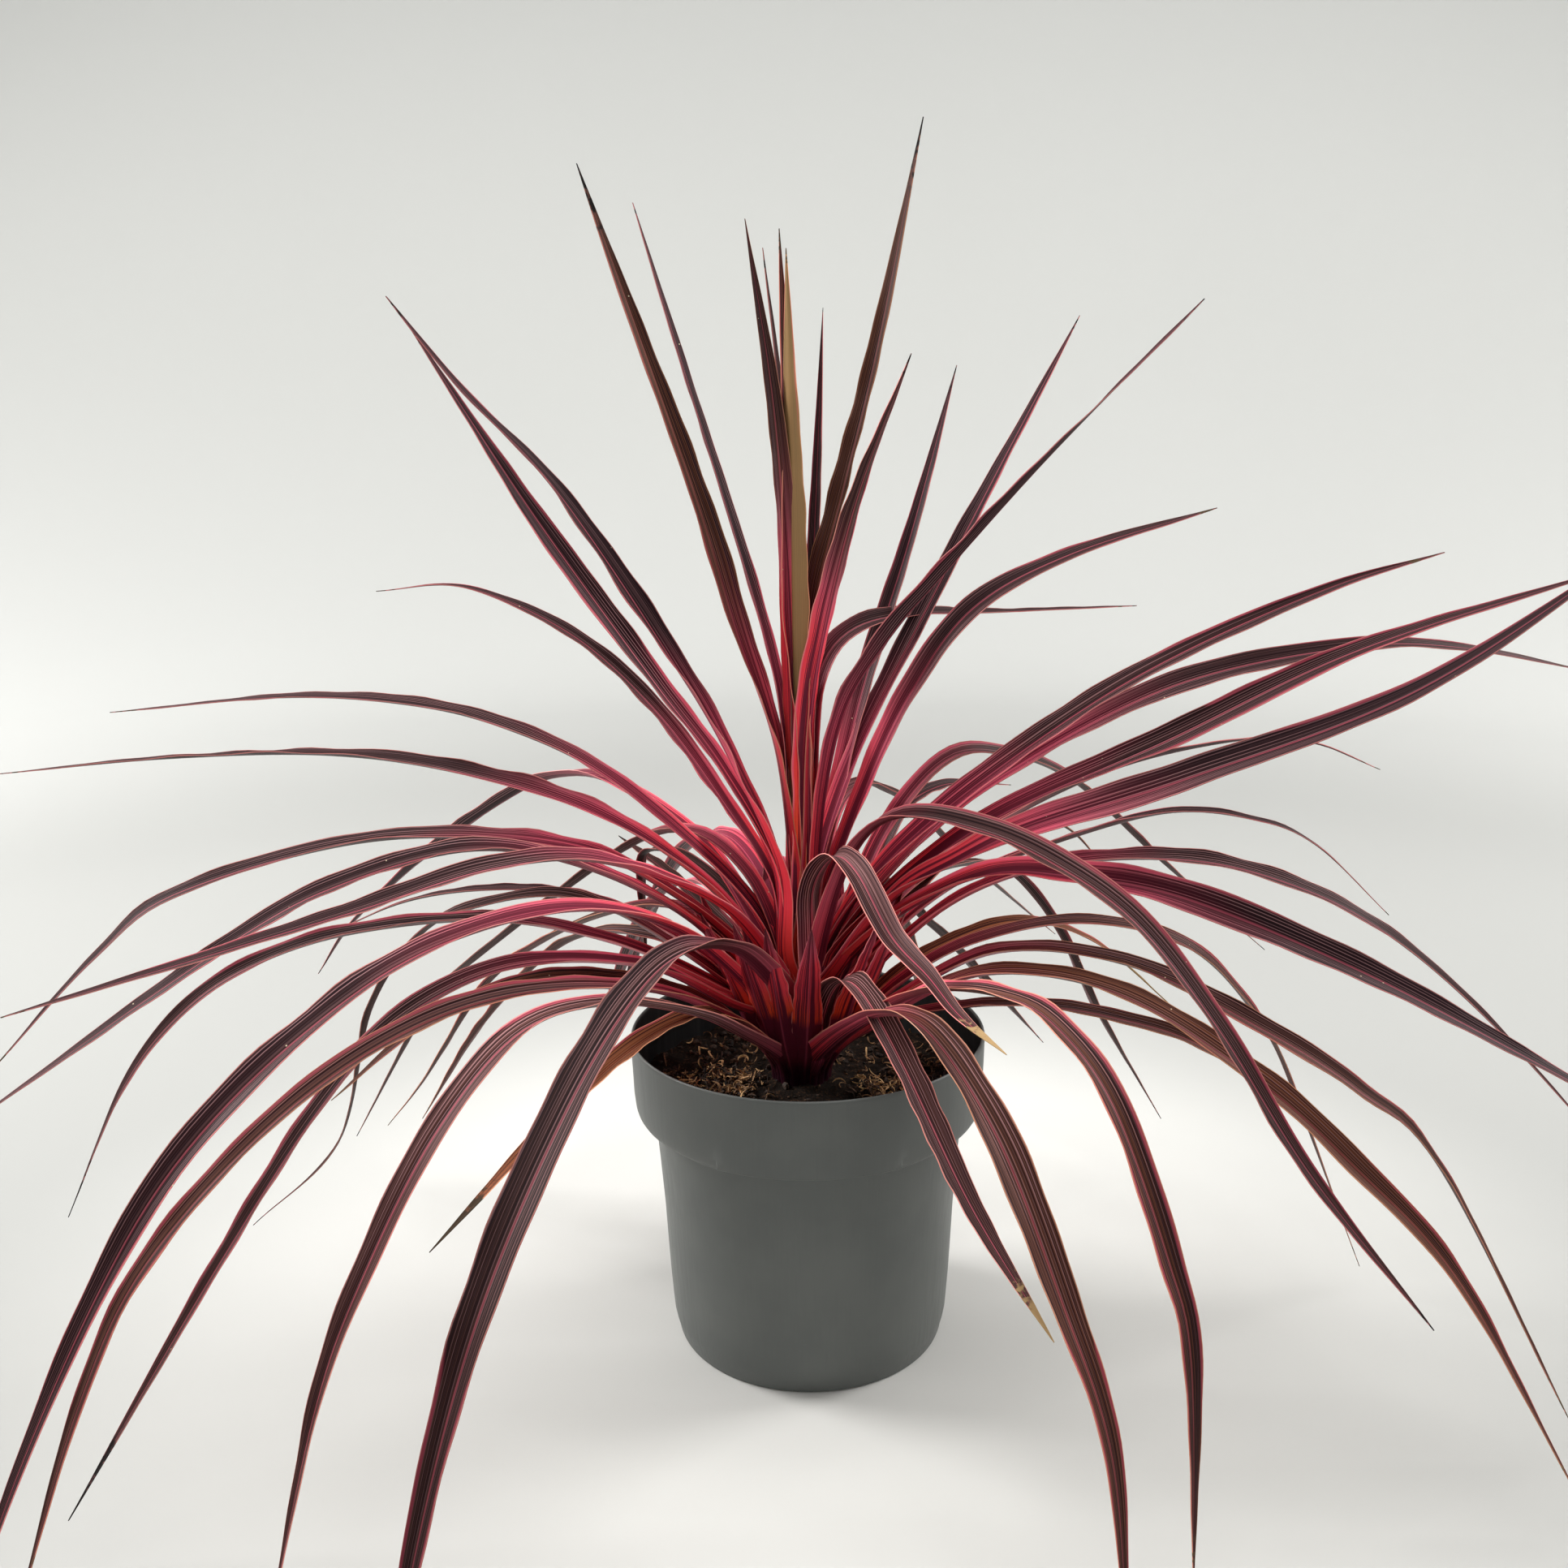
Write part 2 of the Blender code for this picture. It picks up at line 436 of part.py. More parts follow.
def make_leaf(row, roots, collection):
    """One blade: a strip folded along its midrib, narrow at its base and drawn out to a point."""
    _, middle_roll, tip_roll, width, _, *_ = row
    midrib, across = leaf_midrib(row, roots, LEAF_SEGMENTS + 1)
    tangents = np.gradient(midrib, axis=0)
    tangents /= np.linalg.norm(tangents, axis=1)[:, None]
    shape = bmesh.new()
    bmesh.ops.create_grid(shape, x_segments=2, y_segments=LEAF_SEGMENTS, size=1)
    for vertex in shape.verts:
        share = (vertex.co.y + 1) / 2
        step = round(share * LEAF_SEGMENTS)
        side = round(vertex.co.x)
        tangent = tangents[step]
        level = across - tangent * across.dot(tangent)
        level /= np.linalg.norm(level)
        face = np.cross(tangent, level)
        roll = math.radians(np.interp(share, (0, 0.12, 0.5, 1), (0, 0, middle_roll, tip_roll)))
        fold = np.interp(share, (0, 0.4, 1), (BASE_FOLD, MIDDLE_FOLD, TIP_FOLD))
        half = 0.5 * max(width * CM * np.interp(share, np.linspace(0, 1, 11), WIDTH_SHARES), TIP_WIDTH)
        sideways = side * math.cos(fold)
        lift = abs(side) * math.sin(fold)
        offset = level * (sideways * math.cos(roll) - lift * math.sin(roll))
        offset += face * (sideways * math.sin(roll) + lift * math.cos(roll))
        vertex.co = midrib[step] + half * offset
    bmesh.ops.triangulate(shape, faces=shape.faces)
    mesh = bpy.data.meshes.new("leaf")
    shape.to_mesh(mesh)
    shape.free()
    leaf = bpy.data.objects.new("leaf", mesh)
    collection.objects.link(leaf)
    thicken = leaf.modifiers.new("thicken", "SOLIDIFY")
    thicken.thickness = LEAF_THICKNESS
    thicken.offset = 0
    leaf.data = applied_mesh(leaf)
    leaf.modifiers.clear()
    return leaf


def fill_pockets(mesh):
    """Leaves that cross can close off a pocket of air between them: its inner skin is taken out."""
    shape = bmesh.new()
    shape.from_mesh(mesh)
    waiting = set(shape.faces)
    while waiting:
        skin = []
        edge_of_skin = [waiting.pop()]
        while edge_of_skin:
            face = edge_of_skin.pop()
            skin.append(face)
            for edge in face.edges:
                for neighbour in edge.link_faces:
                    if neighbour in waiting:
                        waiting.remove(neighbour)
                        edge_of_skin.append(neighbour)
        flow = sum(face.normal.dot(face.calc_center_median()) * face.calc_area() for face in skin)
        if flow < 0:
            bmesh.ops.delete(shape, geom=skin, context="FACES")
    shape.to_mesh(mesh)
    shape.free()


def sleeve_profile(bottom, top, bottom_radius, top_radius):
    hole = (STEM_RADIUS + FIT_GAP) / CM
    return [
        (hole, top),
        (top_radius, top),
        (bottom_radius, 0.5 * (bottom + top)),
        (bottom_radius, bottom),
        (hole, bottom),
        (hole, top),
    ]


def core_profile(bottom, top, bottom_radius, top_radius):
    return [
        (0, top),
        (top_radius, top),
        (0.5 * (bottom_radius + top_radius), 0.5 * (bottom + top)),
        (bottom_radius, bottom + 1),
        (bottom_radius, bottom),
        (0, bottom),
    ]


def make_tier(name, collection):
    """A tier of leaves, fused to the sleeve that their bases make round the stem."""
    profile = core_profile if name == "heart_leaves" else sleeve_profile
    points = [(radius * CM, height * CM) for radius, height in profile(*SLEEVES[name])]
    tier = turned(name, points, SLEEVE_STEPS, collection)
    tier.data.transform(Matrix.Translation(PLANT_CENTRE))
    blades = make_collection("blades")
    leaves = [make_leaf(row, ROOTS[name], blades) for row in LEAVES[name]]
    boolean = tier.modifiers.new("join", "BOOLEAN")
    boolean.operation = "UNION"
    boolean.solver = "MANIFOLD"
    boolean.operand_type = "COLLECTION"
    boolean.collection = blades
    tier.data = applied_mesh(tier)
    tier.modifiers.clear()
    fill_pockets(tier.data)
    for leaf in leaves:
        bpy.data.objects.remove(leaf, do_unlink=True)
    bpy.data.collections.remove(blades)
    finish(tier)


def main():
    clear_scene()
    collection = make_collection("potted_cordyline")
    make_pot(collection)
    make_soil(collection)
    make_stem(collection)
    for name in LEAVES:
        make_tier(name, collection)


main()
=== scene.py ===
"""The looks of a potted cordyline: arching leaves striped in crimson and brown, in a grey nursery pot.

Metres, +Z up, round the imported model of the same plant. The origin is the middle of the pot's flat base, and
-Y is the pot's front. Run as a script; it is laid out as an add-on, with a panel in the 3D view's sidebar.
"""

import math

import bpy
import numpy as np
from bpy.props import FloatProperty, FloatVectorProperty, IntProperty, PointerProperty, StringProperty
from mathutils import Matrix, Vector, noise


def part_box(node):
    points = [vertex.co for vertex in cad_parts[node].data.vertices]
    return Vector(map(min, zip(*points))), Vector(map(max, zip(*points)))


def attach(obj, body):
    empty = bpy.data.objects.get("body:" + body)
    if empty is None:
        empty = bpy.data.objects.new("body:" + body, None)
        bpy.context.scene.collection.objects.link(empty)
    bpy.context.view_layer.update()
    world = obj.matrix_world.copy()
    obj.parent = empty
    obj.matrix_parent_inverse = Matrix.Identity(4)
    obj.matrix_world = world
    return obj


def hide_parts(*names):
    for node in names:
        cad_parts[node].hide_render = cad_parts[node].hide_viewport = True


bl_info = {
    "name": "Potted Cordyline",
    "version": (1, 0, 0),
    "blender": (4, 5, 0),
    "location": "View3D > Sidebar > Cordyline",
    "description": "Models the leaves, pot and compost of a potted cordyline, and a plain studio round it",
    "category": "Object",
}

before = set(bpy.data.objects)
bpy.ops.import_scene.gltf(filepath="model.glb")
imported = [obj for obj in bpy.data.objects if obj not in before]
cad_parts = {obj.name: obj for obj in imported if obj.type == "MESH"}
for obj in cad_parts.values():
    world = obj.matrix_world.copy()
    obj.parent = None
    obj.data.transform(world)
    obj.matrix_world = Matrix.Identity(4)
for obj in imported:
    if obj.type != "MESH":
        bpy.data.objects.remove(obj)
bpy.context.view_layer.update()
BODY = "root"

CM = 0.01
POT_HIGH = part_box("pot")[1]
SOIL_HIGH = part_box("soil")[1]
STEM_LOW, STEM_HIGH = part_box("stem")
PLANT_CENTRE = Vector(((STEM_LOW.x + STEM_HIGH.x) / 2, 0, 0))

# Camera, as the photograph was taken
CAMERA_PLACE = (-0.0043, -1.1176, 0.7178)
CAMERA_DOWN = math.radians(12.69)
CAMERA_TURN = math.radians(-0.64)
CAMERA_TILT = math.radians(-0.7)
CAMERA_LENS = 33.27
CAMERA_SENSOR = 36

# Pot
TAB_ANGLE = math.radians(29)
TAB_EDGE = math.radians(0.35)
FRONT_PANEL_RADIUS = 0.1268
INNER_SHOULDER_RADIUS = 0.1225
DRAIN_HOLES = 8
DRAIN_RADIUS = 0.007
DRAIN_CIRCLE = 0.085
POT_FLOOR = 0.003

# The inner wall lies at least this far inside the rim's radius, and the inner ledge below this height
INNER_DEPTH = 0.0025
LEDGE_TOP = 0.21

# Compost: how far its surface lies below the model's, how high its waves are, and the height and the width of
# the mound round the stem
SURFACE_DROP = 0.0035
WAVE_HEIGHT = 0.0012
MOUND_HEIGHT = 0.009
MOUND_SPREAD = 0.03

# Rings of the compost's hidden sides, from its edge down, as radius and height
HIDDEN_SOIL = (
    (0.1396, 0.2088), (0.1210, 0.2065), (0.1205, 0.1850),
    (0.1155, 0.0700), (0.1075, 0.0090), (0.1045, 0.0034),
)

# Where bark has gathered on the compost: each drift's place in X and Y and its spread, in metres, and then
# its share of the bark
DRIFTS = (
    (-0.058, -0.016, 0.012), (-0.070, -0.002, 0.013), (-0.100, 0.000, 0.013), (0.057, -0.022, 0.010),
    (0.076, -0.008, 0.015), (0.095, 0.030, 0.020), (-0.050, 0.070, 0.025), (0.0, 0.0, 0.090),
)
DRIFT_SHARES = (0.20, 0.11, 0.08, 0.12, 0.10, 0.07, 0.06, 0.26)

# How far bark stays from the plant's middle, and fibres and crumbs from the compost's edge
STEM_CLEARANCE = 0.024
FIBRE_EDGE_CLEARANCE = 0.006
CRUMB_EDGE_CLEARANCE = 0.005

# Bark and peat: the least and the most of a fibre's length, half-width and lift off the compost and of a
# crumb's size, and a fibre's thickness, in metres
FIBRE_LENGTHS = (0.005, 0.017)
FIBRE_HALF_WIDTHS = (0.0004, 0.0011)
FIBRE_LIFTS = (0.0, 0.006)
CRUMB_SIZES = (0.0012, 0.0042)
FIBRE_THICKNESS = 0.0005

# Seeds of the random draws: the bark's, and the first tier of leaves'. Each tier after it has the next number
BARK_SEED = 11
FIRST_LEAF_SEED = 3

# Cork of the stem
CORK_DARK = (0.035, 0.015, 0.010, 1)
CORK_PALE = (0.21, 0.11, 0.065, 1)

# Leaves: the sleeve of leaf bases of each tier of the model, as bottom, top, and outer radius at the bottom
# and at the top, in cm
SLEEVES = {
    "outer_leaves": (21.9, 23.7, 2.7, 2.5),
    "lower_leaves": (24.0, 26.0, 2.2, 2.0),
    "middle_leaves": (26.3, 28.7, 1.9, 1.7),
    "upper_leaves": (29.3, 31.2, 1.6, 1.4),
    "heart_leaves": (31.5, 41.0, 1.0, 0.4),
}

# How far inside that the finer sleeve lies, in cm, its steps round the stem, and its stripes
SLEEVE_INSET = 0.95
SLEEVE_STEPS = 36
SLEEVE_STRIPES = 6

# How each leaf comes up out of the compost beside the stem, below its root, as reach and height, in cm
FEET = {
    "outer_leaves": ((2.6, 20.6),),
    "lower_leaves": ((2.1, 20.9), (2.0, 23.0)),
    "middle_leaves": ((1.5, 21.2), (1.5, 24.0), (1.5, 25.8)),
    "upper_leaves": ((1.1, 24.0), (1.1, 27.5)),
    "heart_leaves": ((0.4, 28.5),),
}

# Short young leaves round the crown's foot: how many, their width, and the places they pass as reach and
# height, in cm
BASES = 15
BASE_WIDTH = 2.6
BASE_STATIONS = ((4.6, 26.6), (6.6, 31.4), (9.0, 37.5))

# How much further the leaves of a tier have aged to brown than those of the heart
TIER_AGES = {
    "outer_leaves": 0.13,
    "lower_leaves": 0.08,
    "middle_leaves": 0.03,
    "upper_leaves": 0.0,
    "heart_leaves": 0.0,
}

# Where the leaves of each tier are rooted and where they stand clear, as reach and height, in cm
ROOTS = {
    "outer_leaves": ((2.5, 22.7), (3.5, 24.6)),
    "lower_leaves": ((2.1, 24.9), (3.1, 27.2)),
    "middle_leaves": ((1.6, 27.4), (2.7, 30)),
    "upper_leaves": ((1.25, 30), (2, 33)),
    "heart_leaves": ((0.4, 32.6), (0.8, 37)),
}

# What a leaf looks like: how far its red has aged to brown, how orange the brown is, the share of the blade
# that is dead at its tip, how tan that tip is, and how bright the whole leaf is
LOOKS = {
    "bright": (-0.22, 0.15, 0.01, 0.0, 1.15),
    "red": (-0.18, 0.3, 0.01, 0.2, 0.95),
    "dusky": (0.03, 0.0, 0.012, 0.0, 1.0),
    "chestnut": (0.02, 0.5, 0.05, 0.0, 0.75),
    "spear": (0.2, 1.0, 0.01, 0.3, 1.35),
    "ripe": (0.0, 0.05, 0.015, 0.3, 1.0),
    "striped": (-0.04, 0.0, 0.01, 0.3, 0.8),
    "old": (0.08, 0.3, 0.02, 0.4, 1.0),
    "orange": (0.12, 0.5, 0.02, 0.6, 1.05),
    "dark": (0.12, 0.15, 0.02, 0.0, 0.7),
    "taupe": (0.17, 0.1, 0.012, 0.0, 0.9),
    "dark_taupe": (0.17, 0.1, 0.012, 0.0, 0.6),
    "faded": (0.22, 0.12, 0.012, 0.0, 1.35),
    "tan_tip": (0.2, 0.1, 0.085, 1.0, 1.6),
    "golden_tip": (0.2, 0.9, 0.2, 0.9, 1.2),
    "black_tip": (0.05, 0.1, 0.06, 0.0, 0.9),
    "brown_black_tip": (0.12, 0.88, 0.12, 0.1, 1.7),
    "base": (-0.6, 0.0, 0.0, 0.0, 0.8),
}

# One row a leaf: its look; its heading, and how far it has rolled about its midrib halfway along and at its
# tip, in degrees; its width and the sideways drift of its tip, in cm; then the places it passes, as reach and
# height in cm
LEAVES = {
    "heart_leaves": (
        ("chestnut", 190, -50, -54, 2.5, 1, (1, 42), (2, 50), (4.8, 59), (8, 70), (15.5, 92)),
        ("dusky", 160, -10, -10, 1.7, 1, (1, 42), (1.3, 50), (2.7, 58), (7.8, 75), (12.4, 90.5)),
        ("red", 215, 30, 30, 2.1, 0, (0.6, 42), (0.6, 52), (1, 64), (2, 76), (4.2, 88.4)),
        ("dark", 140, 0, 0, 1.4, 0, (0.5, 45), (0.4, 60), (1.2, 74), (3, 87)),
        ("red", 200, -80, -80, 2.1, 0, (0.5, 45), (0.5, 62), (0.7, 76), (1.1, 88)),
        ("spear", 250, -20, -20, 2.4, 0, (0.6, 45), (0.8, 62), (1.1, 74), (1.6, 86.5)),
        ("dusky", 40, 30, 30, 1.3, 0, (1, 45), (1.5, 60), (2.2, 72), (2.8, 82.7)),
        ("chestnut", -8, 45, 48, 2.4, 1, (1, 42), (1, 52), (1.5, 61), (3.5, 69), (6, 79), (9.3, 95.4)),
        ("bright", -42, -5, -5, 2.6, 1, (1, 42), (1.2, 51), (2.7, 59), (5.8, 69), (10.1, 78.8)),
    ),
    "upper_leaves": (
        ("dusky", 38, 20, 20, 1.9, 1, (2, 38), (4, 45), (7, 54), (12, 65), (17.6, 79)),
        ("dusky", 27, 20, 20, 2.1, 2, (2, 40), (5, 48), (9, 55), (18, 69), (27.6, 83)),
        ("dusky", -12, -40, 40, 2.3, -2,
         (1.6, 38), (2.2, 46), (3.9, 53), (7.4, 58.6), (11, 62.8), (19, 71.8), (29, 82)),
        ("ripe", 8, 45, 40, 2.3, 3, (2.6, 38), (5.2, 45.5), (9, 53.5), (14, 60), (22, 64), (34.8, 67.4)),
        ("ripe", 36, 30, 10, 1.9, -3,
         (1.4, 38), (1.4, 48), (1.9, 54.5), (4.5, 58), (10, 59.2), (20, 58.8), (35.3, 58.5)),
        ("dusky", 201, -45, -40, 2.4, 3,
         (2, 40), (5.3, 48), (9.3, 55.5), (18.2, 69.2), (24.8, 76.4), (29.5, 82.3)),
        ("dusky", 175, -42, -40, 2.3, -3, (2.3, 40), (6.3, 47.7), (11.5, 54.7), (21, 68), (30.5, 82.4)),
        ("ripe", 160, -20, -10, 1.9, 4,
         (2.6, 38.5), (6, 44), (12, 51.8), (19.2, 58), (28, 61.7), (35.6, 61.4)),
    ),
    "middle_leaves": (
        ("ripe", 167, -10, -10, 2.2, 5,
         (3, 34), (7, 39.3), (16, 46.6), (24, 50.3), (32, 52.2), (43, 52.8), (58.4, 51.5)),
        ("ripe", 188, -10, 0, 2.3, -4,
         (3.5, 33), (8, 39), (16, 44.8), (26, 48.3), (36, 50), (48, 50), (61, 49)),
        ("ripe", 195, -10, -20, 2.4, 3,
         (4, 32), (10, 38), (18, 42.7), (32, 44.7), (46, 42.2), (52, 38), (59, 31)),
        ("dusky", 147, 10, 10, 2.3, 0,
         (4, 33), (10, 40.2), (19, 44.3), (25, 44.4), (31, 42), (42, 35.3), (54.5, 26), (61, 19)),
        ("ripe", 213, -10, -10, 2.4, 3,
         (3, 32), (8, 38.2), (17.5, 43), (26, 44), (36, 42.8), (48, 41.6), (57, 40.8)),
        ("dark", 155, 0, 0, 2.2, -3,
         (2.4, 33), (5, 38.5), (10, 41.5), (17, 39), (33, 27.3), (40, 21), (51.7, 4.6)),
        ("dark", 141, 0, 0, 1.8, 0, (4, 32), (8, 36), (13, 38.3), (17, 38.2), (17.9, 35.5), (17.7, 27.5)),
        ("ripe", -3, 40, 44, 2.4, -4,
         (2.5, 33), (6, 39), (12, 45), (22, 52.7), (30, 57.6), (39.4, 62.1), (46.7, 64.6)),
        ("ripe", -6, 40, 32, 2.6, 3, (3.3, 33), (8.8, 39), (16, 44.3), (28, 50), (42, 57), (60, 63)),
        ("striped", -24, 50, 48, 2.8, -3,
         (4, 32), (8, 38), (13, 41.5), (18.5, 44.7), (30, 49.6), (44, 56.6), (56, 66.5)),
        ("ripe", 4, 42, 30, 2.4, 4,
         (3.5, 33.7), (9, 40.7), (16, 46.6), (30, 53.6), (45, 56.3), (55, 55.9), (66, 53.7)),
        ("ripe", 19, -30, 0, 1.8, -3,
         (3.5, 32), (8, 36), (16, 41), (28, 45.7), (40, 47.5), (47, 46.8), (53.6, 44.1)),
        ("dark", 29, 20, 0, 2.1, 3,
         (4, 33), (8, 41.2), (13.5, 46.5), (19, 47), (28, 43.5), (40, 34), (56, 22)),
        ("dark", 50, 20, 20, 2.0, 2,
         (2.3, 33), (3.4, 40.3), (5.4, 44.2), (8.5, 45),
         (11, 44.1), (16, 41.5), (23, 36), (35, 28), (44.5, 22)),
        ("taupe", -36, 15, 22, 2.7, 3,
         (2.4, 33), (5, 41), (9, 45), (16, 45), (22, 43.3), (28, 40), (34, 33.5), (40.6, 24.4), (49, 15.3)),
        ("tan_tip", -61, 10, 20, 2.3, -1,
         (2, 35), (2.3, 38.8), (5.5, 41.9), (9, 41.5), (14, 38), (19, 36.6), (23, 35.2), (28.7, 34.6)),
        ("ripe", 42, 20, 20, 1.7, 0,
         (4.8, 31), (7.2, 35.2), (9, 39), (12, 42.6), (16.5, 43.8), (21, 43.3), (26, 42.4)),
        ("striped", -20, 44, -5, 2.8, -3,
         (4, 32), (9, 37), (15.5, 40.6), (22, 41), (30, 40.2), (42, 36.3), (54.6, 30.8), (66, 25.5)),
        ("dark", 48, 0, 0, 1.8, 0,
         (3.5, 31.5), (6.3, 35.3), (10.5, 36.2), (16, 31.5), (21.5, 27), (37, 13)),
        ("ripe", 76, 0, 0, 2.2, 2, (4, 32), (9, 36), (17, 36.5), (28, 30), (39, 18), (47, 6)),
        ("ripe", 94, 0, 0, 2.2, -2, (4, 32), (9, 35.5), (16, 36), (26, 32), (36, 22), (44, 10)),
        ("ripe", 112, 0, 0, 2.3, 2, (4, 32), (10, 37), (19, 38), (30, 33), (42, 22), (52, 9)),
    ),
    "lower_leaves": (
        ("ripe", 205, -15, -15, 2.4, -3,
         (4.3, 30.5), (10, 37), (18, 42), (26, 44.2), (35, 42.8), (43, 39.3), (60, 29)),
        ("black_tip", 192, -15, -15, 2.2, -4,
         (6, 29.3), (14, 34), (24, 36.8), (35, 36.4), (43, 34), (48.5, 30.3), (53.2, 24.5), (58.4, 14)),
        ("ripe", 222, -15, -15, 2.5, 4,
         (6, 31), (13, 37.5), (22, 41), (33, 41), (42, 38), (50, 33), (55.7, 26.5), (62, 16), (65.5, 7)),
        ("black_tip", 212, -10, -10, 2.3, -2,
         (7, 29.5), (14, 34), (24, 36), (32, 34), (38, 29), (46, 18.7), (56.9, 3)),
        ("dark_taupe", 246, 10, 0, 3.1, 2,
         (4, 29.5), (8, 33.5), (13, 36.9), (20, 39),
         (27, 38.3), (35.7, 34.4), (45.7, 26.9), (52.8, 17), (58, 5)),
        ("dark", 134, 0, 0, 2.1, 0, (4, 28), (8, 31.5), (13, 34), (18, 36.2), (24, 38)),
        ("old", 158, 0, 0, 2.0, -2,
         (4, 29.5), (7.5, 33.6), (12, 35), (17, 34), (24, 30.7), (31.2, 25.2), (39.3, 14.5), (44.4, 8.7)),
        ("ripe", 173, 0, 0, 1.5, 2,
         (4, 28), (8, 32), (13, 35), (18, 36.9), (25, 37.4), (33, 36.2), (41.2, 32.5)),
        ("dark", 181, 0, 0, 1.8, 3,
         (5, 29), (10, 33), (15, 36.3), (20, 37.8),
         (26, 37), (30.2, 35), (34.5, 29), (38, 17.5), (45.3, 10.7)),
        ("ripe", 3, -10, 10, 1.6, -3,
         (3.5, 29), (8, 34.3), (13, 38.2), (19.4, 41), (29, 43.8), (36, 43.3), (41, 41.2), (47, 35.5)),
        ("ripe", -10, 15, 15, 2.1, 3,
         (5, 30), (12, 37), (20, 40.5), (30, 41.3), (38, 39.5), (45, 35.9), (52.8, 29.3), (63, 18.5)),
        ("old", 31, 0, 0, 1.3, 0, (4, 28), (9, 33.5), (15, 38), (22, 40.5), (28, 39), (33.8, 33.5)),
        ("dark", 35, 0, 0, 2.0, -2,
         (4, 30), (9, 34.5), (13, 36.6), (17.4, 37),
         (21.5, 36), (25, 33), (28.7, 28.2), (33.5, 20), (42.4, 6.8)),
        ("ripe", 86, 0, 0, 2.2, 2, (4, 28), (8, 31), (15, 32), (25, 28), (35, 18), (43, 6)),
        ("ripe", 122, 0, 0, 2.2, -2, (4, 28), (9, 32), (17, 34), (27, 30), (38, 19), (47, 6)),
    ),
    "outer_leaves": (
        ("old", 220, -15, -15, 2.2, 2,
         (8, 29), (15, 33), (25, 35.5), (34, 35.3), (43.3, 32), (52, 25.6), (56.7, 18.2), (61.3, 7)),
        ("orange", 194, -15, -15, 1.9, 2, (8, 29), (14, 31.5), (22, 32.5), (30, 30), (37, 25)),
        ("faded", 234, 0, 0, 2.3, -2,
         (8, 28), (13.4, 31.5), (22, 35), (30, 35.6), (37, 31.3), (43, 24), (46.7, 17.4), (51, 5)),
        ("brown_black_tip", 228, -10, 0, 1.9, 2,
         (7.5, 28.6), (12, 30.7), (18, 30.5), (25, 28.4), (37.5, 23.1)),
        ("old", -66, 0, 0, 2.8, 2,
         (9, 29), (15, 32.5), (21, 33), (29, 28.8), (35.8, 21), (40.6, 13.9), (42.8, 2.5)),
        ("old", -53, 5, 5, 2.4, -2,
         (9, 29.5), (16, 34), (24, 36), (29, 35.4), (34, 32), (39, 24), (41.2, 18.3), (42.4, 3.5)),
        ("old", 1, 20, 0, 1.9, 3,
         (8, 29.5), (14, 33), (23, 34.5), (32, 32), (38.5, 25), (42.4, 17.2), (49, 1.7)),
        ("old", -16, 20, 10, 2.1, -3,
         (8, 29), (16, 34), (26, 34), (36, 30), (42.7, 26.2), (48.4, 21.2), (58.4, 3.2)),
        ("orange", -29, 20, 20, 2.4, 2,
         (8, 28.5), (16, 33.3), (26, 33.5), (36, 28.8), (43, 23.5), (50, 16.7), (58.5, 2.7)),
        ("old", -9, 20, 10, 1.6, -2, (9, 27.6), (17, 29), (25, 28.5), (33, 26), (45.6, 17.2)),
        ("golden_tip", 14, 20, 10, 1.4, 0, (7, 29), (12, 32), (19, 33.5), (26, 31), (34, 24)),
        ("tan_tip", -63, 0, 20, 2.5, 0,
         (4, 28.5), (6.5, 32), (10, 32.5), (16, 29), (25, 22.2), (34.5, 17.5)),
        ("old", 68, 0, 0, 2.1, 2, (9, 29), (17, 31), (27, 27.5), (37, 17), (44, 6)),
        ("old", 103, 0, 0, 2.1, -2, (8, 28), (15, 29.5), (24, 26), (32, 17), (38, 6)),
        ("old", 146, 0, 0, 2.1, 2, (8, 28.7), (15, 31), (25, 29), (36, 19), (45, 7)),
    ),
}

# A leaf's width and the fold of its halves at even steps from root to tip, as shares of its full width and in
# degrees
WIDTH_SHARES = (1.4, 1.2, 1.06, 1.03, 1.05, 1.04, 0.96, 0.8, 0.57, 0.3, 0.02)
FOLD_ANGLES = (42, 34, 29, 28, 29, 28, 26, 22, 18, 14, 10)
FOOT_WIDTH = 1.6
FOOT_FOLD = math.radians(48)

# How a blade differs from a plain folded strip: how round its midrib and its foot are, and how far its roll,
# its fold, its width and its margins waver, beyond a still share next to its root
MIDRIB_ROUNDING = 0.1
FOOT_ROUNDING = 0.4
ROLL_WANDER = math.radians(9)
FOLD_WANDER = math.radians(4)
WIDTH_WANDER = 0.02
MARGIN_RIPPLE = 0.07
STILL_SHARE = 0.12

# What each leaf's mesh tells its finish
LEAF_ATTRIBUTES = ("seed", "age", "orange", "dead_share", "tan", "bright")

# Finish of the leaves: the cells of its noises and the veins across a blade, the shares of the aged length
# between which red gives way to brown, how much these wander, and the heights between which the painted
# shade at the foot, purple-black, fades out, on the upper side and on the underside
FINE_CELLS = 42
BROAD_CELLS = 8
VEINS = 13
BROWNING = (0.32, 0.56)
BROWNING_WANDER = 0.16
FOOT_SHADE_DARK_BELOW = 0.222
FOOT_SHADE_CLEAR_ABOVE = 0.27
UNDERSIDE_SHADE_CLEAR_ABOVE = 0.29

# Studio: the radius of the curve from floor to wall, the steps round it, and the reaches from the middle over
# which its paint changes, in metres: from the paler floor near the plant, painted light against the plant's
# shadow, to the darker floor beyond, painted shade against the lamps' light, and back to the pale wall
WALL_TURN = 1.2
FLOOR_STEPS = 96
FLOOR_SHADE_REACH = (0.25, 0.85)
WALL_PAINT_REACH = (1.9, 3.8)

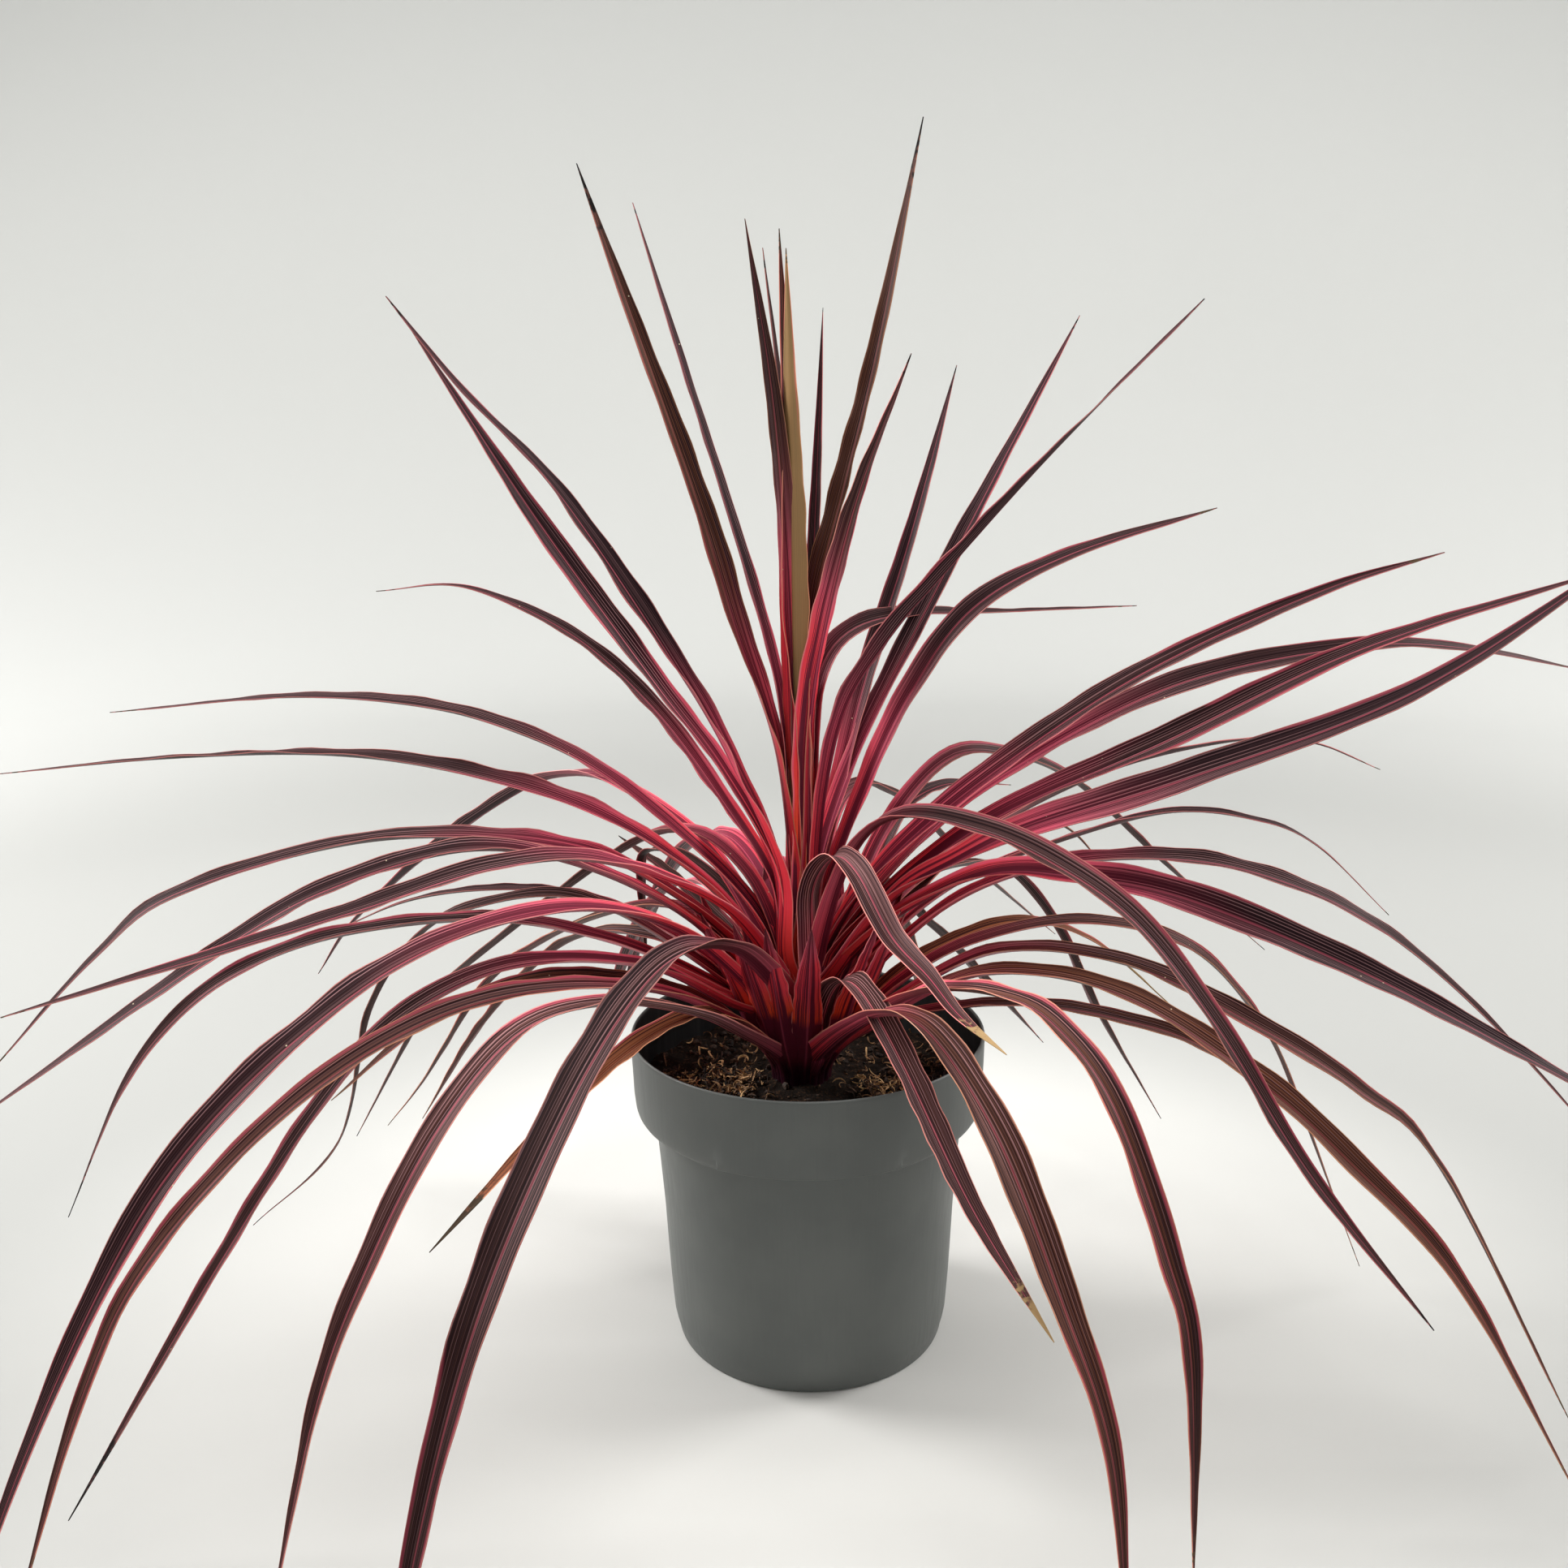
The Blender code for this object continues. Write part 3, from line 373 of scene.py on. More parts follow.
# Soft lights: place, what each points at, width, the setting of its power, its share of that, and its tint
LIGHTS = {
    "ceiling": ((0, 0, 3.1), (0, 0, 0), 3.0, "ceiling_power", 1.0, (1.0, 0.99, 0.96)),
    "backdrop": ((0, 0.3, 2.2), (0, 4.4, 1.8), 1.2, "backdrop_power", 1.0, (1.0, 1.0, 0.98)),
    "left": ((-3.2, 1.0, 2.5), (0, 0, 0.3), 1.6, "side_power", 1.25, (1.0, 0.99, 0.97)),
    "right": ((3.2, 1.0, 2.5), (0, 0, 0.3), 1.6, "side_power", 0.85, (1.0, 0.99, 0.97)),
}


# Settings


def colour(name, description, red, green, blue):
    return FloatVectorProperty(
        name=name, description=description, subtype="COLOR", size=4, min=0, max=1,
        default=(red, green, blue, 1),
    )


def length(name, description, default):
    return FloatProperty(
        name=name, description=description, default=default, min=0, unit="LENGTH", precision=4
    )


def light_power(name, description, default):
    return FloatProperty(name=name, description=description, default=default, min=0, unit="POWER")


class CordylinePotSettings(bpy.types.PropertyGroup):
    """Sizes and colours of the pot"""

    height: length("Height", "From the floor to the top of the lip", POT_HIGH.z)
    rim_radius: length("Rim radius", "Outer radius of the band at the lip", POT_HIGH.x)
    steps: IntProperty(name="Steps", description="Straight steps round the pot", default=180, min=60)
    outside: colour("Outside", "Grey plastic of the outside", 0.093, 0.100, 0.096)
    streak: colour("Streaks", "Paler streaks down the outside", 0.110, 0.117, 0.111)
    inside: colour("Inside", "Black plastic of the inside", 0.008, 0.009, 0.01)


class CordylineSoilSettings(bpy.types.PropertyGroup):
    """Sizes and colours of the potting compost"""

    grain: length("Grain", "Size of the steps that the surface is made of", 0.0028)
    relief: length("Relief", "How far crumbs stand out of the surface", 0.005)
    fibres: IntProperty(name="Fibres", description="Curled bark fibres on the surface", default=650, min=0)
    crumbs: IntProperty(name="Crumbs", description="Loose lumps on the surface", default=420, min=0)
    compost: colour("Compost", "Dark damp peat", 0.010, 0.006, 0.004)
    crumb: colour("Crumb", "Paler crumbs in the peat", 0.075, 0.037, 0.018)
    fibre_dark: colour("Dark fibre", "Darkest bark fibre", 0.10, 0.046, 0.020)
    fibre_middle: colour("Middle fibre", "Bark fibre of a middle tone", 0.48, 0.27, 0.12)
    fibre_pale: colour("Pale fibre", "Palest bark fibre", 0.88, 0.56, 0.26)


class CordylineLeafSettings(bpy.types.PropertyGroup):
    """Sizes and colours of the leaves"""

    thickness: length("Thickness", "Thickness of a blade", 0.0006)
    faces_across: IntProperty(name="Faces across", description="Faces across a blade", default=10, min=2)
    faces_along: IntProperty(name="Faces along", description="Faces along a blade", default=80, min=10)
    # The foot colour is painted shade, laid on close above the compost
    foot: colour("Foot", "Purple-black of a leaf's foot", 0.014, 0.003, 0.007)
    plum: colour("Plum", "Dark stripes of the red part", 0.150, 0.014, 0.034)
    flame: colour("Flame", "Orange-red of the upper side, low down", 0.95, 0.085, 0.030)
    crimson: colour("Crimson", "Red of the lower part", 0.92, 0.062, 0.090)
    raspberry: colour("Raspberry", "Pink-red before the arch", 0.90, 0.145, 0.225)
    mauve: colour("Mauve", "Pale veins of the brown part", 0.45, 0.235, 0.245)
    stripe: colour("Stripe", "Dark ground of the brown part", 0.018, 0.006, 0.009)
    margin: colour("Margin", "Raspberry margins", 0.88, 0.120, 0.200)
    edge: colour("Edge", "Thin pale edge of the margins", 0.82, 0.30, 0.28)
    peach: colour("Peach", "Thin edge of the margins of ageing leaves", 0.78, 0.36, 0.20)
    orange: colour("Orange", "Orange-brown of ageing leaves", 0.270, 0.090, 0.036)
    olive: colour("Olive", "Olive-tan of the spear in the middle", 0.300, 0.190, 0.085)
    tan: colour("Tan", "Dry tips", 0.25, 0.165, 0.080)
    black: colour("Black", "Dead black tips", 0.012, 0.008, 0.008)
    speck: colour("Specks", "Small cream specks", 0.70, 0.58, 0.40)


class CordylineStageSettings(bpy.types.PropertyGroup):
    """The studio: a round pale floor that curves up into a wall, and soft lights"""

    radius: length("Radius", "Radius of the flat floor", 3.2)
    wall: length("Wall", "Height of the wall", 3.4)
    # The paler floor near the plant is painted light, and the darker floor beyond it is painted shade
    paint: colour("Paint", "Pale floor", 0.60, 0.597, 0.580)
    far_floor_shade: colour("Far paint", "Floor away from the plant", 0.335, 0.337, 0.329)
    wall_paint: colour("Wall paint", "Pale wall", 0.585, 0.59, 0.579)
    clouds: colour("Clouds", "Faint clouds in the paint", 0.48, 0.485, 0.475)
    sky: colour("Sky", "Light from all round", 0.95, 0.98, 1.0)
    sky_strength: FloatProperty(name="Sky strength", description="Light from all round", default=0.15, min=0)
    ceiling_power: light_power("Ceiling power", "Power of the soft light overhead", 78)
    side_power: light_power("Side power", "Power of the soft lights at the sides, before each one's share", 155)
    backdrop_power: light_power("Backdrop power", "Power of the soft light on the wall behind", 22)


# Mesh helpers


def deselect_all():
    bpy.ops.object.select_all(action="DESELECT")


def activate(*items):
    deselect_all()
    for item in items:
        item.select_set(True)
    bpy.context.view_layer.objects.active = items[0]


def settle(item):
    """Puts the object's place, turn and size into its mesh."""
    activate(item)
    bpy.ops.object.transform_apply(location=True, rotation=True, scale=True)


def apply_modifiers(item):
    activate(item)
    for modifier in list(item.modifiers):
        bpy.ops.object.modifier_apply(modifier=modifier.name)


def thicken(item, thickness, material_offset=0):
    """Gives a sheet its thickness, half of it to each side. The offset chooses its second side's material."""
    modifier = item.modifiers.new("thicken", "SOLIDIFY")
    modifier.thickness = thickness
    modifier.offset = 0
    modifier.material_offset = material_offset
    apply_modifiers(item)


def join(items, name):
    activate(*items)
    if len(items) > 1:
        bpy.ops.object.join()
    piece = bpy.context.view_layer.objects.active
    piece.name = name
    piece.data.name = name
    return piece


def copy_of(item):
    """A copy with its own mesh."""
    twin = item.copy()
    twin.data = item.data.copy()
    bpy.context.scene.collection.objects.link(twin)
    return twin


def remove(item):
    bpy.data.objects.remove(item, do_unlink=True)


def many(template, count, form, rng, settings):
    """Copies of the template, each given its own form in turn. The template itself goes."""
    copies = [copy_of(template) for _ in range(count)]
    for item in copies:
        form(item, rng, settings)
    remove(template)
    return copies


def points_of(item):
    points = np.empty(len(item.data.vertices) * 3)
    item.data.vertices.foreach_get("co", points)
    return points.reshape(-1, 3)


def move_points(item, points):
    item.data.vertices.foreach_set("co", np.ascontiguousarray(points, dtype=np.float32).ravel())
    item.data.update()


def set_attribute(item, name, values):
    attribute = item.data.attributes.get(name) or item.data.attributes.new(name, "FLOAT", "POINT")
    attribute.data.foreach_set("value", np.broadcast_to(values, len(item.data.vertices)).astype(np.float32))


def shade(item, degrees):
    """Smooth, but for edges sharper than that."""
    activate(item)
    bpy.ops.object.shade_smooth_by_angle(angle=math.radians(degrees))


def dress(item, *finishes):
    item.data.materials.clear()
    for finish in finishes:
        item.data.materials.append(finish)


def hand_over(piece, node):
    """The piece moves with the plant and stands for the node, whose own part is hidden."""
    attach(piece, BODY)
    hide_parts(node)


def select_open_edge():
    """Selects the edges that only one face meets."""
    bpy.ops.mesh.select_all(action="DESELECT")
    bpy.ops.mesh.select_non_manifold(
        extend=False, use_wire=False, use_boundary=True, use_multi_face=False, use_non_contiguous=False
    )


def extrude_rings(radius, height, rings, upright=1):
    """Extrudes the selection to each ring, as radius and height. With upright 0 it is made level."""
    for new_radius, new_height in rings:
        bpy.ops.mesh.extrude_region_move(TRANSFORM_OT_translate={"value": (0, 0, new_height - height)})
        growth = new_radius / radius
        bpy.ops.transform.resize(value=(growth, growth, upright), center_override=(0, 0, new_height))
        radius, height = new_radius, new_height


def raise_rings(name, profile, steps):
    """A closed turned body, raised ring by ring from a disc. Its profile is in radius and height."""
    radius, height = profile[0]
    deselect_all()
    bpy.ops.mesh.primitive_circle_add(
        vertices=steps, radius=radius, fill_type="NGON", location=(0, 0, height)
    )
    item = bpy.context.object
    settle(item)
    bpy.ops.object.mode_set(mode="EDIT")
    bpy.ops.mesh.select_all(action="SELECT")
    extrude_rings(radius, height, profile[1:])
    bpy.ops.mesh.select_all(action="SELECT")
    bpy.ops.mesh.normals_make_consistent(inside=False)
    bpy.ops.object.mode_set(mode="OBJECT")
    item.name = name
    return item


def curve_through(values, share):
    """The smooth curve through evenly spaced values, read at shares of its way."""
    values = np.asarray(values, dtype=float)
    place = np.asarray(share) * (len(values) - 1)
    number = np.clip(place.astype(int), 0, len(values) - 2)
    t = place - number
    if values.ndim > 1:
        t = t[:, None]
    padded = np.array([2 * values[0] - values[1], *values, 2 * values[-1] - values[-2]])
    before, start, end, after = (padded[number + step] for step in range(4))
    bend = (end - before) * t + (2 * before - 5 * start + 4 * end - after) * t**2
    return 0.5 * (2 * start + bend + (3 * start - before - 3 * end + after) * t**3)


def smooth_path(points, count, marked):
    """Evenly spaced points on the smooth curve through others, and its share before the marked one."""
    steps = 24
    curve = curve_through(points, np.linspace(0, 1, steps * (len(points) - 1) + 1))
    along = np.concatenate([[0], np.cumsum(np.linalg.norm(np.diff(curve, axis=0), axis=1))])
    wanted = np.linspace(0, along[-1], count)
    evenly = np.stack([np.interp(wanted, along, column) for column in curve.T], axis=1)
    return evenly, along[steps * marked] / along[-1]


# Finishes


class Finish:
    """A material under construction. Most methods add a node and give back its output."""

    def __init__(self, name):
        self.material = bpy.data.materials.new(name)
        self.material.use_nodes = True
        self.tree = self.material.node_tree
        self.shader = self.tree.nodes["Principled BSDF"]

    def put(self, socket, value):
        if isinstance(value, bpy.types.NodeSocket):
            self.tree.links.new(value, socket)
        elif isinstance(value, bpy.types.bpy_prop_array):
            socket.default_value = value[:]
        elif value is not None:
            socket.default_value = value

    def node(self, kind, *values, output=0, **settings):
        node = self.tree.nodes.new("ShaderNode" + kind)
        for key, value in settings.items():
            setattr(node, key, value)
        for socket, value in zip(node.inputs, values):
            self.put(socket, value)
        return node.outputs[output]

    def math(self, operation, *values):
        return self.node("Math", *values, operation=operation)

    def times(self, first, second):
        return self.math("MULTIPLY", first, second)

    def plus(self, first, second):
        return self.math("ADD", first, second)

    def mix(self, share, first, second, blend="MIX"):
        values = (share, None, None, None, None, None, first, second)
        return self.node("Mix", *values, output=2, data_type="RGBA", blend_type=blend)

    def blend(self, share, first, second):
        """A number between two others."""
        return self.node("Mix", share, None, first, second)

    def spread(self, value, low, high, to_low=0.0, to_high=1.0):
        """The value eased from one range to another, and held outside it."""
        return self.node("MapRange", value, low, high, to_low, to_high, interpolation_type="SMOOTHSTEP")

    def vector(self, x, y, z):
        return self.node("CombineXYZ", x, y, z)

    def attribute(self, name):
        return self.node("Attribute", output=2, attribute_name=name)

    def noise(self, place, scale, detail=2.0, roughness=0.5):
        return self.node("TexNoise", place, None, scale, detail, roughness)

    def ramp(self, value, *stops):
        """A colour that changes with the value. Each stop is a place and a colour."""
        output = self.node("ValToRGB", value)
        elements = output.node.color_ramp.elements
        while len(elements) < len(stops):
            elements.new(0.5)
        for element, (place, stop_colour) in zip(elements, stops):
            element.position = place
        for element, (place, stop_colour) in zip(elements, stops):
            element.color = stop_colour[:]
        return output

    def object_place(self, *scale):
        """The place on the object, multiplied along each axis when a scale is given."""
        place = self.node("TexCoord", output=3)
        return self.node("Mapping", place, None, None, scale) if scale else place

    def bump(self, height, strength, distance):
        output = self.node("Bump")
        self.put(output.node.inputs["Strength"], strength)
        self.put(output.node.inputs["Distance"], distance)
        self.put(output.node.inputs["Height"], height)
        return output

    def done(self, **values):
        """Sets the shader's inputs, named in lower case with underscores, and gives back the material."""
        for socket in self.shader.inputs:
            key = socket.name.lower().replace(" ", "_")
            if key in values:
                self.put(socket, values.pop(key))
        if values:
            raise ValueError(f"the shader has no {sorted(values)}")
        return self.material


def pot_outside_finish():
    """Matt grey plastic with faint upright streaks and a little dust."""
    settings = bpy.context.scene.cordyline_pot
    finish = Finish("grey_pot_plastic")
    streaks = finish.noise(finish.object_place(420, 420, 9), 1, 4, 0.6)
    fine = finish.noise(finish.object_place(900, 900, 60), 1, 3, 0.6)
    clouds = finish.noise(finish.object_place(), 14, 3)
    share = finish.spread(finish.math("MULTIPLY_ADD", streaks, 0.4, clouds), 0.5, 0.9)
    grey = finish.mix(share, settings.outside, settings.streak)
    dust = finish.spread(finish.noise(finish.object_place(), 260, 4), 0.64, 0.72, 0, 0.3)
    grey = finish.mix(dust, grey, settings.streak)
    roughness = finish.spread(streaks, 0.3, 0.7, 0.44, 0.56)
    relief = finish.plus(streaks, finish.times(fine, 0.6))
    normal = finish.bump(relief, 0.08, 0.0005)
    return finish.done(base_color=grey, roughness=roughness, normal=normal, specular_ior_level=0.45)


def pot_inside_finish():
    """Black plastic with grey streaks."""
    settings = bpy.context.scene.cordyline_pot
    finish = Finish("black_pot_plastic")
    streaks = finish.noise(finish.object_place(120, 120, 6), 1, 4, 0.6)
    black = finish.mix(finish.spread(streaks, 0.4, 0.8, 0, 0.25), settings.inside, settings.outside)
    return finish.done(base_color=black, roughness=0.5, normal=finish.bump(streaks, 0.2, 0.0006))


def compost_finish():
    """Dark peat with paler crumbs."""
    settings = bpy.context.scene.cordyline_soil
    finish = Finish("peat_compost")
    place = finish.object_place()
    grains = finish.noise(place, 420, 5, 0.65)
    lumps = finish.noise(place, 90, 4, 0.6)
    brown = finish.mix(finish.spread(grains, 0.5, 0.66), settings.compost, settings.crumb)
    brown = finish.mix(finish.spread(lumps, 0.4, 0.62, 0.75, 0), brown, settings.compost)
    relief = finish.plus(grains, finish.times(lumps, 1.6))
    return finish.done(
        base_color=brown,
        roughness=0.95,
        specular_ior_level=0.15,
        normal=finish.bump(relief, 0.9, 0.002),
    )


def bark_finish():
    """From peat to pale bark, by the tone of each fibre and crumb."""
    settings = bpy.context.scene.cordyline_soil
    finish = Finish("bark_fibre")
    tone = finish.attribute("tone")
    fibres = finish.noise(finish.object_place(), 700, 4, 0.7)
    share = finish.plus(tone, finish.spread(fibres, 0.35, 0.65, -0.18, 0.18))
    brown = finish.ramp(
        share,
        (0.0, settings.compost),
        (0.35, settings.fibre_dark),
        (0.7, settings.fibre_middle),
        (1.0, settings.fibre_pale),
    )
    return finish.done(base_color=brown, roughness=0.8, normal=finish.bump(fibres, 0.5, 0.0008))


def stem_finish():
    """Brown cork in level rings."""
    finish = Finish("corky_stem")
    rings = finish.noise(finish.object_place(30, 30, 260), 1, 3, 0.6)
    cork = finish.noise(finish.object_place(), 320, 4)
    share = finish.plus(rings, finish.times(cork, 0.5))
    brown = finish.ramp(share, (0.45, CORK_DARK), (0.95, CORK_PALE))
    return finish.done(base_color=brown, roughness=0.85, normal=finish.bump(share, 0.6, 0.001))


class BladeFinish(Finish):
    """The finish of one side of a leaf, which follows the blade's own map across and along it."""

    def __init__(self, name, underside):
        super().__init__(name)
        self.underside = underside
        self.colours = bpy.context.scene.cordyline_leaves
        split = self.node("SeparateXYZ", self.node("UVMap", uv_map="blade")).node
        self.across, self.along = split.outputs[0], split.outputs[1]
        self.from_midrib = self.math("ABSOLUTE", self.math("MULTIPLY_ADD", self.across, 2, -1))
        values = [self.attribute(key) for key in LEAF_ATTRIBUTES]
        self.seed, age, self.orange, self.dead_share, self.tan, self.bright = values
        self.fine = self.stripes(FINE_CELLS, 1.6, 1, 0)
        self.broad = self.stripes(BROAD_CELLS, 1.3, 1.5, 7)
        aged = self.plus(self.plus(self.along, age), -BROWNING_WANDER / 2)
        self.aged = self.math("MULTIPLY_ADD", self.stripes(1.2, 3.5, 1, 13), BROWNING_WANDER, aged)
        self.browned = self.spread(self.aged, *BROWNING)

    def stripes(self, number, length_scale, detail, offset):
        """Noise drawn out along the blade, with that many cells across it."""
        place = self.vector(
            self.times(self.across, number),
            self.times(self.along, length_scale),
            self.math("MULTIPLY_ADD", self.seed, 43, offset),
        )
        return self.noise(place, 1, detail)

    def bands(self, pattern):
        """Where the pale bands of the red part are, more of them towards the margins."""
        outward = self.times(self.plus(self.from_midrib, -0.5), 0.24)
        low, high = (0.5, 0.61) if self.underside else (0.43, 0.54)
        return self.spread(self.plus(pattern, outward), low, high)

    def veins(self, pattern):
        """Where the thin pale veins of the brown part are, fainter towards the tip."""
        sway = self.times(self.stripes(4, 1.1, 1, 31), 2.6)
        wavering = self.math("FRACT", self.math("MULTIPLY_ADD", self.across, VEINS, sway))
        from_vein = self.math("ABSOLUTE", self.plus(wavering, -0.5))
        strength = self.spread(self.stripes(11, 2.2, 1, 23), 0.36, 0.62, 0.12, 1)
        vein = self.times(self.spread(from_vein, 0.05, 0.18, 1, 0), strength)
        veins = self.math("MAXIMUM", vein, self.spread(pattern, 0.5, 0.66, 0, 0.25))
        return self.times(veins, self.spread(self.along, 0.4, 0.8, 1, 0.35))

    def striped_face(self):
        """Dark and pale stripes, red low down and brown beyond, with a raspberry midrib."""
        colours = self.colours
        pale = self.ramp(
            self.aged,
            (0.0, colours.plum),
            (0.05, colours.crimson if self.underside else colours.flame),
            (0.2, colours.crimson),
            (0.32, colours.crimson),
            (0.43, colours.raspberry),
            (0.56, colours.mauve),
            (1.0, colours.mauve),
        )
        dark = self.ramp(
            self.aged,
            (0.0, colours.plum),
            (0.42, colours.plum),
            (0.58, colours.stripe),
            (1.0, colours.stripe),
        )
        pattern = self.math("MULTIPLY_ADD", self.broad, 0.55, self.times(self.fine, 0.45))
        face = self.mix(self.blend(self.browned, self.bands(pattern), self.veins(pattern)), dark, pale)
        midrib = self.spread(self.from_midrib, 0.02, 0.1, 0.3, 0)
        return self.mix(midrib, face, colours.raspberry)

    def warmed(self, face):
        """With orange-brown where an ageing leaf has browned, or olive-tan on the spear in the middle."""
        warm_brown = self.mix(self.spread(self.fine, 0.42, 0.58), self.colours.stripe, self.colours.orange)
        warm_brown = self.mix(self.spread(self.orange, 0.9, 1, 0, 0.8), warm_brown, self.colours.olive)
        return self.mix(self.times(self.browned, self.orange), face, warm_brown)

    def bordered(self, face):
        """With raspberry margins of uneven width, and a thin pale edge."""
        uneven = self.spread(self.stripes(1.9, 2.2, 2, 19), 0.4, 0.62, -0.4, 0.06)
        margin = self.spread(self.plus(self.from_midrib, uneven), 0.8, 0.88)
        margin = self.times(margin, self.spread(self.aged, 0.35, 0.7, 0.9, 0.3))
        face = self.mix(margin, face, self.colours.margin)
        edge_colour = self.mix(self.spread(self.orange, 0, 0.4), self.colours.edge, self.colours.peach)
        return self.mix(self.spread(self.from_midrib, 0.93, 0.98, 0, 0.65), face, edge_colour)

    def foot_shaded(self, face):
        """With painted shade at the foot: purple-black close above the compost, fading out higher up."""
        height = self.node("SeparateXYZ", self.object_place()).node.outputs["Z"]
        clear_above = UNDERSIDE_SHADE_CLEAR_ABOVE if self.underside else FOOT_SHADE_CLEAR_ABOVE
        foot = self.spread(height, FOOT_SHADE_DARK_BELOW, clear_above, 0.97, 0)
        foot = self.times(foot, self.spread(self.along, 0.16, 0.3, 1, 0))
        return self.mix(foot, face, self.colours.foot)

    def dead_tip(self):
        """Where the blade is dead, with a ragged edge."""
        blotches = self.spread(self.noise(self.object_place(), 160, 3), 0.3, 0.7, -0.03, 0.03)
        past_living = self.plus(self.plus(self.along, self.dead_share), blotches)
        return self.spread(past_living, 0.985, 1.02)

    def specks(self):
        """Where a few small specks are."""
        spots = self.node("TexVoronoi", self.object_place(), None, 130)
        chance = self.node("SeparateColor", spots.node.outputs["Color"])
        return self.times(self.spread(spots, 0.05, 0.09, 1, 0), self.spread(chance, 0.93, 0.94))


def leaf_finish(name, underside=False):
    """Fine stripes along the blade, red low down and brown beyond, with raspberry margins and midrib."""
    if name in bpy.data.materials:
        return bpy.data.materials[name]
    finish = BladeFinish(name, underside)
    colours = finish.colours
    # Stripes, warm browns and margins, then painted shade at the foot
    face = finish.foot_shaded(finish.bordered(finish.warmed(finish.striped_face())))
    dead = finish.dead_tip()
    face = finish.mix(dead, face, finish.mix(finish.tan, colours.black, colours.tan))
    face = finish.mix(finish.specks(), face, colours.speck)
    brightness = finish.vector(finish.bright, finish.bright, finish.bright)
    rough_low, rough_high = (0.46, 0.58) if underside else (0.36, 0.46)
    roughness = finish.spread(finish.fine, 0.3, 0.7, rough_low, rough_high)
    relief = finish.plus(finish.stripes(70, 2, 1, 3), finish.broad)
    return finish.done(
        base_color=finish.mix(1.0, face, brightness, blend="MULTIPLY"),
        roughness=finish.math("MAXIMUM", roughness, finish.times(dead, 0.8)),
        specular_ior_level=0.08 if underside else 0.12,
        normal=finish.bump(relief, 0.3, 0.0006),
    )


def paint_finish():
    """Pale paint with faint clouds, painted lighter near the plant against its shadow, darker beyond it as
    painted shade, and pale again up the wall.
    """
    settings = bpy.context.scene.cordyline_stage
    finish = Finish("pale_studio_paint")
    place = finish.node("SeparateXYZ", finish.object_place()).node
    squares = [finish.math("POWER", place.outputs[axis], 2) for axis in ("X", "Y")]
    reach = finish.math("SQRT", finish.plus(*squares))
    # Painted light near the plant, painted shade farther out, then the pale wall
    paint = finish.mix(finish.spread(reach, *FLOOR_SHADE_REACH), settings.paint, settings.far_floor_shade)
    paint = finish.mix(finish.spread(reach, *WALL_PAINT_REACH), paint, settings.wall_paint)
    clouds = finish.noise(finish.object_place(), 0.7, 2)
    paint = finish.mix(finish.spread(clouds, 0.35, 0.65, 0, 0.05), paint, settings.clouds)
    return finish.done(base_color=paint, roughness=0.75, specular_ior_level=0.2)


# Pot


def pot_profile(settings, front):
    """Up the outside from the base, over the lip and down the inside. At the front the band has a tab."""
    rim, top = settings.rim_radius, settings.height
    foot = [
        (0.1080, 0.0), (0.1095, 0.0002), (0.1108, 0.0010), (0.1115, 0.0030),
        (0.1125, 0.0080), (0.1140, 0.0135), (0.1152, 0.0200), (0.1160, 0.0300),
    ]
    wall = [
        (0.1174, 0.0500), (0.1190, 0.0800), (0.1206, 0.1140),
        (0.1232, 0.1500), (0.1251, 0.1740), (0.1261, 0.1874),
    ]
    shoulder = [
        (0.1268, 0.1892), (0.1277, 0.1899), (0.1378, 0.1973), (0.1398, 0.1991),
        (0.1411, 0.2013), (0.1420, 0.2043), (0.1424, 0.2080),
    ]
    if front:
        shoulder = [
            (0.1263, 0.1892), (0.1265, 0.1920), (0.1267, 0.1960), (FRONT_PANEL_RADIUS, 0.1991),
            (rim - 0.0016, 0.1993), (rim - 0.0009, 0.2000), (rim - 0.0008, 0.2060),
        ]
    band = [(rim - 0.0013, 0.2160), (rim - 0.0010, 0.2280), (rim - 0.0005, 0.2420)]
    lip = [
        (rim - 0.0001, top - 0.0040), (rim, top - 0.0022), (rim - 0.0003, top - 0.0008), (rim - 0.0011, top),
        (rim - 0.0020, top - 0.0002), (rim - 0.0026, top - 0.0012), (rim - 0.0028, top - 0.0030),
    ]
    inside = [
        (rim - 0.0034, 0.2300), (rim - 0.0038, 0.2062), (INNER_SHOULDER_RADIUS, 0.2042),
        (INNER_SHOULDER_RADIUS, 0.1830), (0.1165, 0.0700), (0.1085, 0.0080), (0.1060, POT_FLOOR),
    ]
    return [*foot, *wall, *shoulder, *band, *lip, *inside]


def shape_tab(pot, settings):
    """Moves the points across the front to the front profile, with a crisp step at the tab's two edges."""
    profile = np.array(pot_profile(settings, front=False))
    front_profile = np.array(pot_profile(settings, front=True))
    points = points_of(pot)
    radii = np.hypot(points[:, 0], points[:, 1])
    angles = np.arctan2(points[:, 0], -points[:, 1])
    step = 2 * math.pi / settings.steps
    for index, point in enumerate(points):
        from_edge = abs(angles[index]) - TAB_ANGLE
        if from_edge > step or radii[index] < FRONT_PANEL_RADIUS / 2:
            continue
        angle = angles[index]
        if abs(from_edge) < 0.75 * step:
            angle = math.copysign(TAB_ANGLE + math.copysign(TAB_EDGE, from_edge), angle)
        radius, height = radii[index], point[2]
        if from_edge < 0:
            distances = np.hypot(profile[:, 0] - radius, profile[:, 1] - height)
            radius, height = front_profile[distances.argmin()]
        points[index] = (radius * math.sin(angle), -radius * math.cos(angle), height)
    move_points(pot, points)


